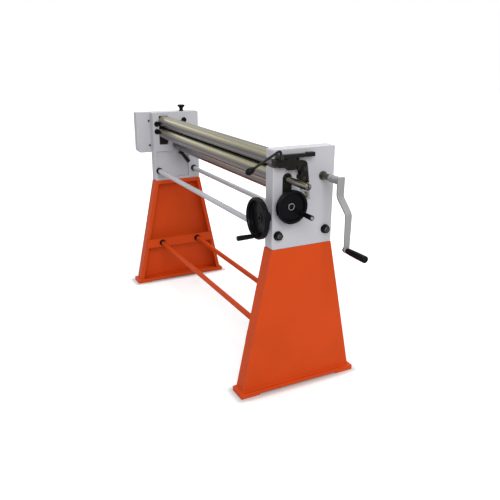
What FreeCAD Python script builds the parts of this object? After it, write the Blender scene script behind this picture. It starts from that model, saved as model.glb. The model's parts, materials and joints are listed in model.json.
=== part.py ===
"""Slip roll machine: a parametric assembly of its separate pieces, in millimetres.

Frame: the origin lies on the floor at the middle of the four anchor holes, +X runs along the
rolls to the crank side, +Z is up and -Y is the operator's side.
"""
import FreeCAD
import Part
import Sketcher
import math
import os

DOCUMENT = FreeCAD.newDocument("SlipRoll")
NODES = []

# A size that ends in _down is measured down from the tops of the heads.
SIZES = {
    # rolls
    "roll_face": 1300.0, "roll_radius": 32.0, "nip_gap": 0.5, "journal_radius": 13.0,
    "pinch_y": -74.5, "upper_z_down": 50.0, "rear_y": 7.0, "rear_z_down": 182.0, "rear_lean": 9.1,
    "shaft_end_radius": 12.8, "shaft_end_reach": 146.0, "center_hole_radius": 3.0,
    # heads
    "head_gap": 1324.0, "head_thick": 54.0, "head_depth": 272.0, "head_top": 1000.0,
    "head_foot_down": 387.0, "head_corner": 8.0, "head_edge": 4.0, "recess_depth": 12.0,
    "recess_front": 123.0,
    "recess_rear": 72.0, "recess_low_down": 374.0, "recess_high_down": 219.0, "recess_corner": 10.0,
    # stands
    "stand_depth": 60.0, "stand_foot_half": 259.0, "sheet": 4.0, "lip": 20.0, "top_plate": 8.0,
    "base_length": 545.0, "base_plate": 14.0, "pad_height": 7.0, "pad_length": 84.0,
    "base_outer_ledge": 16.0, "base_inner_ledge": 6.0, "anchor_radius": 6.5,
    "anchor_spacing_y": 470.0, "anchor_inset_x": 27.0,
    "crossbar_low": 214.0, "crossbar_height": 50.0, "crossbar_thick": 8.0,
    # tie rods
    "rod_radius": 12.5, "rod_end_radius": 9.0, "rod_front_y": -111.0, "rod_rear_y": 103.0,
    "low_rod_front_y": -115.0, "low_rod_rear_y": 107.0,
    "upper_rod_z_down": 330.0, "lower_rod_z": 239.0, "nut_flats": 28.0, "nut_height": 14.0,
    "washer_radius": 18.5, "washer_thick": 3.5, "rod_end_proud": 4.0,
    "head_bolt_y": 100.0, "head_bolt_radius": 6.0, "head_bolt_flats": 19.0,
    "head_bolt_height": 8.0, "head_bolt_grip": 30.0,
    # fits
    "running_fit": 0.05, "slide_fit": 0.2, "contact_gap": 0.1, "free_gap": 0.3,
    # lower roll blocks and cam
    "slot_width": 41.0, "slot_top_center_down": 111.0, "cam_z_down": 212.0, "cam_lift": 5.0,
    "cam_high": 19.0, "cam_turn": 300.0, "cam_width": 30.0, "cam_shaft_radius": 8.0,
    "cam_plate": 6.0, "cam_plate_side": 50.0, "block_inset": 2.0,
    "left_slot_width": 52.0, "left_slot_low_down": 181.0, "left_slot_high_down": 20.0,
    "left_lower_block_low_down": 171.0, "left_lower_block_high_down": 84.0, "pivot_box_low_down": 80.0,
    # upper roll swivel, seat and end housing
    "swivel_radius": 21.0, "swivel_window": 36.0, "swivel_window_height": 30.0,
    "upper_journal_radius": 14.0, "dog_thick": 7.0, "dog_depth": 6.0, "dog_play": 1.2,
    "notch_low_down": 68.0, "notch_high_down": 34.0, "notch_end": 15.0, "seat_front": 5.0,
    "housing_gap": 5.0, "housing_width": 26.0, "housing_radius": 25.0, "housing_top": 19.0,
    "tongue_top": 15.7, "tongue_front": 146.0, "tongue_low_down": 63.0, "tongue_nose": 18.0,
    "journal_end_gap": 4.0, "pivot_floor": 6.0,
    # rear roll blocks, wedge and screw
    "rear_journal_radius": 12.5, "rear_slot_width": 40.0, "rear_block_low": 22.0,
    "rear_block_high": 25.0, "rear_pin_proud": 3.0, "rear_flange": 4.0, "rear_flange_half": 24.0,
    "wedge_angle": 30.0, "wedge_travel": 32.0, "wedge_drop": 39.0, "wedge_foot_half": 17.0,
    "wedge_low_down": 278.0, "wedge_margin": 2.0, "pocket_depth": 40.0, "wedge_thick": 30.0,
    "screw_z_down": 259.0, "screw_radius": 7.0, "screw_shoulder_radius": 10.0,
    "screw_shoulder_length": 20.0, "screw_flange_radius": 20.0, "screw_flange": 8.0,
    "pocket_cover": 4.0, "cover_lap": 8.0, "cover_drop": 4.0, "screw_end_radius": 5.5,
    # handwheels
    "outer_wheel_radius": 65.0, "outer_wheel_face": 49.0, "outer_grip_angle": -35.0,
    "outer_hub_drop": 14.0, "outer_grip_length": 65.0, "front_wheel_radius": 80.5,
    "front_wheel_face": 59.0, "front_grip_angle": -90.0, "front_hub_drop": 18.0,
    "front_grip_length": 75.0, "rim_thick": 9.0,
    "rim_width": 22.0, "rim_round": 4.0, "hub_radius": 17.0, "web_thick": 7.0, "hub_rise": 3.0,
    "hub_recess": 4.5, "hub_square": 13.0,
    "grip_inset": 13.0, "wheel_grip_radius": 10.0, "wheel_grip_root": 8.0,
    "grip_bolt_radius": 4.0, "grip_head_radius": 7.0, "grip_head_depth": 5.0,
    "grip_bolt_seat": 15.0,
    # drive
    "crank_y": 82.7, "crank_z_down": 114.0, "drive_shaft_radius": 12.0, "bush_radius": 15.0,
    "bush_flange_radius": 17.5, "bush_flange": 5.0, "crank_radius": 250.0,
    "arm_reach": 116.0, "arm_thick": 8.0, "arm_top_half": 16.0, "arm_foot_half": 11.5,
    "arm_offset": 58.0, "bend_top_drop": 58.0, "bend_low_drop": 111.0, "arm_head": 17.0,
    "arm_foot": 11.0, "crank_hub_radius": 15.0, "crank_hub_start": 53.0,
    "crank_grip_length": 105.0, "crank_grip_radius": 13.5, "crank_bolt_radius": 6.0,
    "crank_nut": 9.0, "grip_collar": 6.0,
    # gears and their case
    "roll_teeth": 20.0, "pinion_teeth": 19.0, "idler_teeth": 34.0, "gear_width": 16.0,
    "gear_gap": 4.0, "tooth_backlash": 0.3, "pressure_angle": 20.0, "stud_radius": 10.0,
    "gear_plate": 8.0, "gear_shaft_radius": 10.0, "stud_grip": 20.0,
    "case_depth": 44.0, "case_front": 215.0, "case_rear": 128.0,
    "case_low_down": 228.0, "case_top_drop": 2.0, "case_corner": 22.0, "case_sheet": 2.0,
    "case_screw_radius": 3.0, "case_screw_head": 5.5, "case_screw_clear": 7.0,
    "case_screw_grip": 12.0,
    # clamp
    "bracket_thick": 12.0, "bracket_radius": 19.5, "bracket_top_y": -14.0,
    "bracket_top_z_down": 65.5, "bracket_foot_y": -6.5, "bracket_foot_z_down": 118.0,
    "bracket_grip": 22.0, "hinge_y": -19.0, "hinge_z_down": 74.0, "hinge_pin_radius": 6.0,
    "cheek_thick": 6.0, "cheek_radius": 12.5, "fork_y": -25.0, "fork_z_down": 108.0,
    "fork_boss_radius": 11.0, "bracket_screw_radius": 4.0, "pin_head": 4.0,
    "pin_head_extra": 3.0, "stop_y": 4.5, "stop_z_down": 125.5, "stop_radius": 3.5,
    "stop_length": 20.0, "clamp_thick": 16.0, "clamp_boss_radius": 15.0, "bar_height": 13.0,
    "web_front": -48.0, "web_rear": -42.0, "waist_y": -38.0, "waist_z_down": 47.0,
    "knuckle_y": -8.0, "knuckle_z_down": 60.0, "bar_rear": 25.0, "eye_y": -124.5,
    "eye_radius": 11.0, "eye_pin_radius": 4.0, "bar_block_length": 33.0,
    "bar_block_extra": 3.0, "lever_thick": 11.0, "lever_bend_y": -127.0,
    "lever_bend_z_down": -3.0, "lever_end_y": -244.0, "lever_end_z_down": 58.5,
    "lever_neck_radius": 5.2, "lever_rod_radius": 4.6, "knob_radius": 13.5,
    "knob_length": 38.0, "knob_lap": 12.0,
    # small fittings of the left head
    "guide_bolt_y": -114.0, "guide_bolt_radius": 8.0, "guide_bolt_head_radius": 15.0,
    "guide_bolt_head": 6.0, "guide_bolt_grip": 25.0, "idle_bolt_y": 49.0,
    "idle_bolt_z_down": 48.0, "plunger_y": 45.0, "plunger_radius": 6.0, "plunger_depth": 30.0,
    "plunger_stem_radius": 12.0, "plunger_stem": 22.0, "plunger_cap_radius": 21.0,
    "plunger_cap": 14.0, "lock_lever_y": 26.0, "lock_lever_z_down": 233.0,
    "lock_lever_length": 64.0, "lock_lever_lean": -52.0, "lock_lever_radius": 9.0,
    "lock_hub_length": 34.0, "lock_pin_radius": 5.0, "lock_pin_depth": 32.0,
}


class Size:
    """A value of the sheet, or one worked out from it, with the expression that gives it."""

    def __init__(self, number, text):
        self.number = number
        self.text = text

    def joined(self, other, sign, number):
        return Size(number, "(" + self.text + " " + sign + " " + size(other).text + ")")

    def __add__(self, other):
        return self.joined(other, "+", self.number + size(other).number)

    def __sub__(self, other):
        return self.joined(other, "-", self.number - size(other).number)

    def __mul__(self, other):
        return self.joined(other, "*", self.number * size(other).number)

    def __truediv__(self, other):
        return self.joined(other, "/", self.number / size(other).number)

    def __radd__(self, other):
        return size(other) + self

    def __rsub__(self, other):
        return size(other) - self

    def __rmul__(self, other):
        return size(other) * self

    def __rtruediv__(self, other):
        return size(other) / self

    def __neg__(self):
        return size(0.0) - self


def size(value):
    """Give a plain number the same form as a size."""
    if isinstance(value, Size):
        return value
    return Size(float(value), "({:.6f})".format(float(value)))


def sine(angle):
    """Sine of an angle in degrees."""
    return Size(math.sin(math.radians(size(angle).number)), "sin(" + size(angle).text + ")")


def cosine(angle):
    """Cosine of an angle in degrees."""
    return Size(math.cos(math.radians(size(angle).number)), "cos(" + size(angle).text + ")")


def root(value):
    """Square root."""
    return Size(math.sqrt(value.number), "sqrt(" + value.text + ")")


def write_sheet():
    """Write the driving dimensions and give each one as an attribute."""
    sheet = DOCUMENT.addObject("Spreadsheet::Sheet", "Sizes")
    sizes = {}
    for row, (name, number) in enumerate(SIZES.items(), start=1):
        sheet.set("A{}".format(row), name)
        sheet.set("B{}".format(row), "{:g}".format(number))
        sheet.setAlias("B{}".format(row), name)
    DOCUMENT.recompute()
    for name in SIZES:
        sizes[name] = Size(float(sheet.get(name)), "Sizes." + name)
    return type("Sizes", (), sizes)


def set_heights():
    """Give each size that ends in _down also as a height above the floor."""
    for name in [key for key in SIZES if key.endswith("_down")]:
        setattr(S, name[:-len("_down")], S.head_top - getattr(S, name))


S = write_sheet()
set_heights()

# Turns that carry a body's own axes onto the machine's: extrusions run along the last one.
ALONG_X = FreeCAD.Rotation(FreeCAD.Vector(1, 1, 1), 120)
ALONG_Y = FreeCAD.Rotation(FreeCAD.Vector(1, 0, 0), 90)
ALONG_Z = FreeCAD.Rotation()
# Turns for round pieces, whose own X axis is the axis of revolution.
ROUND_X = FreeCAD.Rotation()
ROUND_Y = FreeCAD.Rotation(FreeCAD.Vector(0, 0, 1), 90)
ROUND_Z = FreeCAD.Rotation(FreeCAD.Vector(0, 1, 0), -90)

# Places that several pieces share.
INNER = S.head_gap / 2
OUTER = INNER + S.head_thick
MIDDLE = INNER + S.head_thick / 2
HALF_DEPTH = S.head_depth / 2
HALF_FACE = S.roll_face / 2
LOWER_Z = S.upper_z - 2 * S.roll_radius - S.nip_gap
FLOOR_TO_STAND = S.pad_height + S.base_plate
PLATE_X = OUTER + S.gear_plate
GEAR_X = PLATE_X + S.gear_gap
HOUSING_X = OUTER + S.housing_gap
CLAMP_X = OUTER + S.bracket_thick + S.free_gap
CHEEK_X = CLAMP_X + S.clamp_thick + S.free_gap
LEVER_X = HOUSING_X + S.housing_width + S.free_gap
CASE_SCREW_Y = -(HALF_DEPTH + S.case_screw_clear)


def bind(target, name, value):
    """Bind one property of an object to a size."""
    target.setExpression(name, size(value).text)


def place(target, turn=ALONG_Z, x=0.0, y=0.0, z=0.0):
    """Turn an object and bind its position."""
    target.Placement = FreeCAD.Placement(FreeCAD.Vector(), turn)
    for axis, value in (("x", x), ("y", y), ("z", z)):
        bind(target, "Placement.Base." + axis, value)
    return target


def node(target, label):
    """Register an object as one node of the machine."""
    target.Label = label
    NODES.append(target)
    return target


def sketch_on(body, points=(), circles=()):
    """Draw a closed outline and circles on a body's own base plane, each size bound."""
    sketch = body.newObject("Sketcher::SketchObject", body.Name + "Sketch")
    base = [f for f in body.Origin.OriginFeatures if f.Role == "XY_Plane"][0]
    sketch.AttachmentSupport = [(base, "")]
    sketch.MapMode = "FlatFace"
    corners = [(size(u), size(v)) for u, v in points]
    spots = [FreeCAD.Vector(u.number, v.number, 0) for u, v in corners]
    for index, spot in enumerate(spots):
        sketch.addGeometry(Part.LineSegment(spot, spots[(index + 1) % len(spots)]))
    count = len(spots)
    for index in range(count):
        sketch.addConstraint(
            Sketcher.Constraint("Coincident", index, 2, (index + 1) % count, 1))
    for index, (u, v) in enumerate(corners):
        pin_point(sketch, index, 1, u, v, "corner{}".format(index))
    for index, (u, v, radius) in enumerate(circles, start=count):
        center = FreeCAD.Vector(size(u).number, size(v).number, 0)
        sketch.addGeometry(Part.Circle(center, FreeCAD.Vector(0, 0, 1), size(radius).number))
        pin_point(sketch, index, 3, size(u), size(v), "center{}".format(index))
        name = "radius{}".format(index)
        add_bound(sketch, Sketcher.Constraint("Radius", index, size(radius).number), name, radius)
    return sketch


def pin_point(sketch, index, end, u, v, name):
    """Fix one point of a sketch at bound distances from the origin."""
    for kind, value in (("DistanceX", u), ("DistanceY", v)):
        constraint = Sketcher.Constraint(kind, -1, 1, index, end, value.number)
        add_bound(sketch, constraint, name + kind[-1], value)


def add_bound(sketch, constraint, name, value):
    """Add a named constraint and bind it."""
    number = sketch.addConstraint(constraint)
    sketch.renameConstraint(number, name)
    sketch.setExpression("Constraints." + name, size(value).text)


def prism(name, turn, start, end, points=(), circles=()):
    """Extrude an outline, drawn in machine coordinates, from start to end."""
    body = DOCUMENT.addObject("PartDesign::Body", name)
    pad = body.newObject("PartDesign::Pad", name + "Pad")
    pad.Profile = sketch_on(body, points, circles)
    body.Tip = pad
    start, end = size(start), size(end)
    bind(pad, "Length", end - start)
    if turn is ALONG_X:
        return place(body, turn, x=start)
    if turn is ALONG_Y:
        return place(body, turn, y=end)
    return place(body, turn, z=start)


def lathe(name, turn, points, x=0.0, y=0.0, z=0.0):
    """Revolve an outline of (distance along the axis, radius)."""
    body = DOCUMENT.addObject("PartDesign::Body", name)
    sketch = sketch_on(body, points)
    turned = body.newObject("PartDesign::Revolution", name + "Turned")
    turned.Profile = sketch
    turned.ReferenceAxis = (sketch, ["H_Axis"])
    turned.Angle = 360.0
    body.Tip = turned
    return place(body, turn, x, y, z)


def stepped(steps):
    """Outline of a stepped shaft: (start, end, radius) for each step in turn."""
    points = [(steps[0][0], 0.0)]
    for start, end, radius in steps:
        points += [(start, radius), (end, radius)]
    return points + [(steps[-1][1], 0.0)]


def rod(name, turn, start, end, radius, x=0.0, y=0.0, z=0.0):
    """A plain cylinder along one of the machine's axes."""
    cylinder = DOCUMENT.addObject("Part::Cylinder", name)
    start, end = size(start), size(end)
    bind(cylinder, "Radius", radius)
    bind(cylinder, "Height", end - start)
    if turn is ALONG_X:
        return place(cylinder, turn, start, y, z)
    if turn is ALONG_Y:
        return place(cylinder, turn, x, end, z)
    return place(cylinder, turn, x, y, start)


def box(name, x_span, y_span, z_span):
    """A box between two places on each axis."""
    block = DOCUMENT.addObject("Part::Box", name)
    spans = [(size(low), size(high)) for low, high in (x_span, y_span, z_span)]
    for side, (low, high) in zip(("Length", "Width", "Height"), spans):
        bind(block, side, high - low)
    return place(block, ALONG_Z, spans[0][0], spans[1][0], spans[2][0])


def fuse(name, parts):
    """Join pieces into one solid."""
    joined = DOCUMENT.addObject("Part::MultiFuse", name)
    joined.Shapes = parts
    joined.Refine = True
    return joined


def cut(name, base, tools):
    """Take tools away from a base."""
    result = DOCUMENT.addObject("Part::Cut", name)
    result.Base = base
    result.Tool = tools[0] if len(tools) == 1 else fuse(name + "Tools", tools)
    return result


def group(name, parts):
    """Several equal pieces that share one node, as separate solids."""
    compound = DOCUMENT.addObject("Part::Compound", name)
    compound.Links = parts
    return compound


def round_edges(body, radius, chosen):
    """Fillet the edges of a body whose middle satisfies a test, in the body's own axes."""
    DOCUMENT.recompute()
    base = body.Tip
    names = ["Edge{}".format(number) for number, edge in enumerate(base.Shape.Edges, start=1)
             if chosen(edge)]
    fillet = body.newObject("PartDesign::Fillet", body.Name + "Round")
    fillet.Base = (base, names)
    bind(fillet, "Radius", radius)
    body.Tip = fillet
    return body


def along_extrusion(edge):
    """Tell whether an edge runs along the extrusion."""
    first, last = edge.Vertexes[0].Point, edge.Vertexes[-1].Point
    return abs(first.x - last.x) < 1e-6 and abs(first.y - last.y) < 1e-6


def side_span(side, near, far):
    """Span in X of a piece that lies from near to far on one side of the machine."""
    return (near, far) if side > 0 else (-far, -near)


def side_name(side, name):
    """Name of a piece on one side."""
    return ("right_" if side > 0 else "left_") + name


def rectangle(y_low, y_high, z_low, z_high):
    """Corners of a rectangle across the rolls."""
    return [(y_low, z_low), (y_high, z_low), (y_high, z_high), (y_low, z_high)]


def hexagon(y, z, flats):
    """Corners of a hexagon across the rolls."""
    reach = flats / math.sqrt(3)
    return [(y + reach * math.cos(math.radians(60 * k)), z + reach * math.sin(math.radians(60 * k)))
            for k in range(6)]


def leaning(along, across):
    """Point of the rear roll's guide: distance up it and across it, from the roll's rest."""
    return (S.rear_y - along * sine(S.rear_lean) + across * cosine(S.rear_lean),
            S.rear_z + along * cosine(S.rear_lean) + across * sine(S.rear_lean))


def leaning_rectangle(low, high, half):
    """Corners of a rectangle that follows the rear roll's guide."""
    return [leaning(low, -half), leaning(low, half), leaning(high, half), leaning(high, -half)]


def through(span):
    """Lengthen a span in X so that a tool passes right through."""
    return size(span[0]) - 1, size(span[1]) + 1


def slot_tools(name, span, y, z_low, z_high, radius):
    """Tools for an upright slot with round ends."""
    return [rod(name + "Low", ALONG_X, *span, radius, 0, y, z_low),
            rod(name + "High", ALONG_X, *span, radius, 0, y, z_high),
            box(name + "Middle", span, (y - radius, y + radius), (z_low, z_high))]


def slanted_rod(name, radius, x, start, end):
    """A round bar from one point of a plane across the rolls to another."""
    bar = DOCUMENT.addObject("Part::Cylinder", name)
    run, rise = size(end[0]) - start[0], size(end[1]) - start[1]
    bind(bar, "Radius", radius)
    bind(bar, "Height", root(run * run + rise * rise))
    direction = FreeCAD.Vector(0, run.number, rise.number)
    turn = FreeCAD.Rotation(FreeCAD.Vector(0, 0, 1), direction)
    return place(bar, turn, x, start[0], start[1])


def ball(name, radius, x, y, z):
    """A ball that rounds the joint of two bars."""
    sphere = DOCUMENT.addObject("Part::Sphere", name)
    bind(sphere, "Radius", radius)
    return place(sphere, ALONG_Z, x, y, z)


# ---------------------------------------------------------------- stands and base


def stand_half(z, offset=0.0):
    """Half width of a stand at one height, less a sheet or a lip."""
    rise = S.head_foot - FLOOR_TO_STAND
    lean = (S.stand_foot_half - HALF_DEPTH) / rise
    return S.stand_foot_half - (z - FLOOR_TO_STAND) * lean - offset * root(1 + lean * lean)


def trapezoid(low, high, offset=0.0):
    """Outline of a stand between two heights."""
    foot, top = stand_half(low, offset), stand_half(high, offset)
    return [(-foot, low), (foot, low), (top, high), (-top, high)]


def stand(side):
    """Folded sheet stand: outer panel, edge flanges with lips, and a top plate."""
    near = OUTER - S.stand_depth
    name = side_name(side, "stand")
    panel = prism(name + "_panel", ALONG_X, *side_span(side, near, OUTER),
                  points=trapezoid(FLOOR_TO_STAND, S.head_foot))
    hollow = prism(name + "_hollow", ALONG_X,
                   *side_span(side, near + S.sheet, OUTER - S.sheet),
                   points=trapezoid(FLOOR_TO_STAND - 1, S.head_foot - S.top_plate, S.sheet))
    window = prism(name + "_window", ALONG_X, *side_span(side, near - 1, near + S.sheet + 1),
                   points=trapezoid(FLOOR_TO_STAND - 1, S.head_foot - S.lip, S.lip))
    holes = [rod(name + "_hole" + end, ALONG_Z, S.head_foot - S.top_plate - 1, S.head_foot + 1,
                 S.head_bolt_radius + S.free_gap, side * MIDDLE, y)
             for end, y in (("A", -S.head_bolt_y), ("B", S.head_bolt_y))]
    node(cut(name, panel, [hollow, window] + holes), name)


def base_plate(side):
    """Floor plate under one stand, with two anchor holes."""
    name = side_name(side, "base_plate")
    near = OUTER - S.stand_depth - S.base_inner_ledge
    slab = box(name + "_slab", side_span(side, near, OUTER + S.base_outer_ledge),
               (-S.base_length / 2, S.base_length / 2), (S.pad_height, FLOOR_TO_STAND))
    holes = [rod(name + "_hole" + end, ALONG_Z, S.pad_height - 1, FLOOR_TO_STAND + 1,
                 S.anchor_radius, side * MIDDLE, y)
             for end, y in (("A", -S.anchor_spacing_y / 2), ("B", S.anchor_spacing_y / 2))]
    node(cut(name, slab, holes), name)


def base_pads():
    """Four foot pads under the ends of the base plates, bored for the anchors."""
    near = OUTER - S.stand_depth - S.base_inner_ledge
    pads = []
    for side in (1, -1):
        for end in (1, -1):
            name = side_name(side, "front_pad" if end < 0 else "rear_pad")
            far_y, near_y = end * S.base_length / 2, end * (S.base_length / 2 - S.pad_length)
            span = (far_y, near_y) if end < 0 else (near_y, far_y)
            slab = box(name + "_slab", side_span(side, near, OUTER + S.base_outer_ledge),
                       span, (0, S.pad_height))
            hole = rod(name + "_hole", ALONG_Z, -1, S.pad_height + 1, S.anchor_radius,
                       side * MIDDLE, end * S.anchor_spacing_y / 2)
            pads.append(cut(name, slab, [hole]))
    node(group("base_pads", pads), "base_pads")


def crossbar(side):
    """Flat bar across the inner edges of a stand, bored for the lower tie rods."""
    name = side_name(side, "crossbar")
    far = OUTER - S.stand_depth
    low, high = S.crossbar_low, S.crossbar_low + S.crossbar_height
    bar = prism(name + "_bar", ALONG_X, *side_span(side, far - S.crossbar_thick, far),
                points=trapezoid(low, high, S.sheet))
    holes = [rod(name + "_hole" + end, ALONG_X,
                 *through(side_span(side, far - S.crossbar_thick, far)),
                 S.rod_end_radius + S.running_fit, 0, y, S.lower_rod_z)
             for end, y in (("A", S.low_rod_front_y), ("B", S.low_rod_rear_y))]
    node(cut(name, bar, holes), name)


# ---------------------------------------------------------------- tie rods


def rod_stops():
    """Where the rods are held: rod name, y, z, and the wall's near and far face."""
    bar = OUTER - S.stand_depth
    upper = (S.upper_rod_z, INNER, OUTER)
    lower = (S.lower_rod_z, bar - S.crossbar_thick, bar)
    return [("upper", S.rod_front_y, *upper), ("upper", S.rod_rear_y, *upper),
            ("lower", S.low_rod_front_y, *lower), ("lower", S.low_rod_rear_y, *lower)]


def tie_rods():
    """Four shouldered rods that hold the two sides together."""
    rods = {"upper": [], "lower": []}
    for number, (level, y, z, near, far) in enumerate(rod_stops()):
        shoulder = near - S.washer_thick - S.nut_height
        tip = far + S.washer_thick + S.nut_height + S.rod_end_proud
        steps = [(-tip, -shoulder, S.rod_end_radius), (-shoulder, shoulder, S.rod_radius),
                 (shoulder, tip, S.rod_end_radius)]
        rods[level].append(lathe("{}_rod{}".format(level, number), ROUND_X, stepped(steps),
                                 0, y, z))
    for level, pair in rods.items():
        node(group(level + "_tie_rods", pair), level + "_tie_rods")


def rod_fasteners():
    """Nuts and washers on both faces of every wall that a rod passes."""
    nuts, washers = [], []
    bore = S.rod_end_radius + S.running_fit
    for number, (level, y, z, near, far) in enumerate(rod_stops()):
        for side in (1, -1):
            for face, way in ((near, -1), (far, 1)):
                name = "{}{}{}".format(number, "R" if side > 0 else "L", "F" if way > 0 else "N")
                ends = sorted((face, face + way * S.washer_thick), key=lambda one: one.number)
                washers.append(prism("Washer" + name, ALONG_X, *side_span(side, *ends),
                                     circles=[(y, z, S.washer_radius), (y, z, bore)]))
                outer = face + way * S.washer_thick
                ends = sorted((outer, outer + way * S.nut_height), key=lambda one: one.number)
                nuts.append(prism("Nut" + name, ALONG_X, *side_span(side, *ends),
                                  points=hexagon(y, z, S.nut_flats), circles=[(y, z, bore)]))
    node(group("rod_nuts", nuts), "rod_nuts")
    node(group("rod_washers", washers), "rod_washers")


def head_bolts():
    """Four bolts up through the stands' top plates into the heads."""
    bolts = []
    low = S.head_foot - S.top_plate
    for side in (1, -1):
        for end in (1, -1):
            name = side_name(side, "bolt") + ("A" if end < 0 else "B")
            shank = rod(name + "_shank", ALONG_Z, low, S.head_foot + S.head_bolt_grip,
                        S.head_bolt_radius, side * MIDDLE, end * S.head_bolt_y)
            head = prism(name + "_head", ALONG_Z, low - S.head_bolt_height, low,
                         points=hexagon(side * MIDDLE, end * S.head_bolt_y, S.head_bolt_flats))
            bolts.append(fuse(name, [shank, head]))
    node(group("head_bolts", bolts), "head_bolts")


# ---------------------------------------------------------------- heads


def casting(side):
    """Side casting with rounded corners and a rounded outer edge."""
    body = prism(side_name(side, "casting"), ALONG_X, *side_span(side, INNER, OUTER),
                 points=rectangle(-HALF_DEPTH, HALF_DEPTH, S.head_foot, S.head_top))
    round_edges(body, S.head_corner, along_extrusion)
    outer = S.head_thick.number if side > 0 else 0.0
    return round_edges(body, S.head_edge,
                       lambda edge: all(abs(v.Z - outer) < 1e-6 for v in edge.Vertexes))


def shared_holes(side):
    """Holes that both heads have: rod ends, crank bush and the bolts from the stand."""
    name = side_name(side, "head")
    span = through(side_span(side, INNER, OUTER))
    spots = [("RodA", S.rod_front_y, S.upper_rod_z, S.rod_end_radius + S.running_fit),
             ("RodB", S.rod_rear_y, S.upper_rod_z, S.rod_end_radius + S.running_fit),
             ("Bush", S.crank_y, S.crank_z, S.bush_radius + S.running_fit)]
    tools = [rod(name + key, ALONG_X, *span, radius, 0, y, z) for key, y, z, radius in spots]
    for key, y in (("BoltA", -S.head_bolt_y), ("BoltB", S.head_bolt_y)):
        tools.append(rod(name + key, ALONG_Z, S.head_foot - 1,
                         S.head_foot + S.head_bolt_grip + S.free_gap,
                         S.head_bolt_radius + S.running_fit, side * MIDDLE, y))
    return tools


def rear_guide(side):
    """Tool for the leaning guide of a rear roll block."""
    rise = wedge_lift(S.wedge_travel)
    low = -(S.rear_block_low + S.free_gap)
    high = S.rear_block_high + rise + S.free_gap
    return prism(side_name(side, "rear_guide"), ALONG_X,
                 *through(side_span(side, INNER, OUTER)),
                 points=leaning_rectangle(low, high, S.rear_slot_width / 2))


def right_head():
    """Crank side head: block slot, front notch, rear guide and the wedge pocket."""
    span = through((INNER, OUTER))
    tools = shared_holes(1) + [rear_guide(1)]
    tools += slot_tools("block_slot", span, S.pinch_y, S.cam_z, S.slot_top_center,
                        S.slot_width / 2)
    tools.append(box("notch", span, (-HALF_DEPTH - 1, S.pinch_y + S.notch_end),
                     (S.notch_low, S.notch_high)))
    tools.append(prism("wedge_pocket", ALONG_X, INNER - 1, INNER + S.pocket_depth,
                       points=pocket_outline()))
    tools.append(prism("foot_channel", ALONG_X, INNER - 1, INNER + S.pocket_depth,
                       points=leaning_rectangle(-S.wedge_drop, 0.0,
                                                S.wedge_foot_half + S.free_gap)))
    tools.append(rod("screw_hole", ALONG_Y, -HALF_DEPTH - 1, pocket_front() + 1,
                     S.screw_radius + S.free_gap, MIDDLE, 0, S.screw_z))
    tools.append(rod("screw_seat", ALONG_Y, -HALF_DEPTH - 1,
                     S.screw_shoulder_length - HALF_DEPTH,
                     S.screw_shoulder_radius + S.running_fit, MIDDLE, 0, S.screw_z))
    for key, y, z, radius in bracket_spots():
        tools.append(rod("bracket_hole" + key, ALONG_X, OUTER - S.bracket_grip - S.free_gap,
                         OUTER + 1, radius + S.running_fit, 0, y, z))
    node(cut("right_head", casting(1), tools), "right_head")


def left_head():
    """Gear side head: block opening, rear guide, and a cast recess with a rod boss."""
    span = through((-OUTER, -INNER))
    half = S.left_slot_width / 2
    tools = shared_holes(-1) + [rear_guide(-1)]
    tools.append(box("block_opening", span, (S.pinch_y - half, S.pinch_y + half),
                     (S.left_slot_low, S.left_slot_high)))
    pocket = prism("cast_recess", ALONG_X, -INNER - S.recess_depth, -INNER + 1,
                   points=rectangle(-S.recess_front, S.recess_rear, S.recess_low,
                                    S.recess_high))
    round_edges(pocket, S.recess_corner, along_extrusion)
    boss = rod("rod_boss", ALONG_X, -OUTER, -INNER + 2, S.washer_radius + 2, 0,
               S.rod_front_y, S.upper_rod_z)
    tools.append(cut("recess_tool", pocket, [boss]))
    for key, y, z in guide_bolt_spots():
        tools.append(rod("guide_hole" + key, ALONG_X, -INNER - S.guide_bolt_grip - S.free_gap,
                         -INNER + 1, S.guide_bolt_radius + S.running_fit, 0, y, z))
    y, z = idler_center()
    tools.append(rod("stud_hole", ALONG_X, -OUTER - 1, -OUTER + S.stud_grip + S.free_gap,
                     S.stud_radius + S.running_fit, 0, y, z))
    tools.append(rod("plunger_hole", ALONG_Z, S.head_top - S.plunger_depth - S.free_gap,
                     S.head_top + 1, S.plunger_radius + S.running_fit, -MIDDLE,
                     S.plunger_y))
    tools.append(rod("lock_hole", ALONG_X, -INNER - S.lock_pin_depth - S.free_gap, -INNER + 1,
                     S.lock_pin_radius + S.running_fit, 0, S.lock_lever_y,
                     S.lock_lever_z))
    node(cut("left_head", casting(-1), tools), "left_head")


def guide_bolt_spots():
    """Places of the bolts on the left head's inner face."""
    return [("A", S.guide_bolt_y, S.upper_z - 14), ("B", S.guide_bolt_y, LOWER_Z + 8.5),
            ("C", S.idle_bolt_y, S.idle_bolt_z)]


def guide_bolts():
    """Round headed bolts beside the bearing blocks of the left head."""
    bolts = []
    for key, y, z in guide_bolt_spots():
        steps = [(-INNER - S.guide_bolt_grip, -INNER, S.guide_bolt_radius),
                 (-INNER, S.guide_bolt_head - INNER, S.guide_bolt_head_radius)]
        bolts.append(lathe("guide_bolt" + key, ROUND_X, stepped(steps), 0, y, z))
    node(group("guide_bolts", bolts), "guide_bolts")


# ---------------------------------------------------------------- upper roll


def seat_shoe():
    """Hard strip on the notch floor that carries the upper journal."""
    node(box("seat_shoe", (INNER, OUTER),
             (S.seat_front - HALF_DEPTH, S.pinch_y + S.notch_end),
             (S.notch_low, S.upper_z - S.upper_journal_radius - S.contact_gap)), "seat_shoe")


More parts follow.
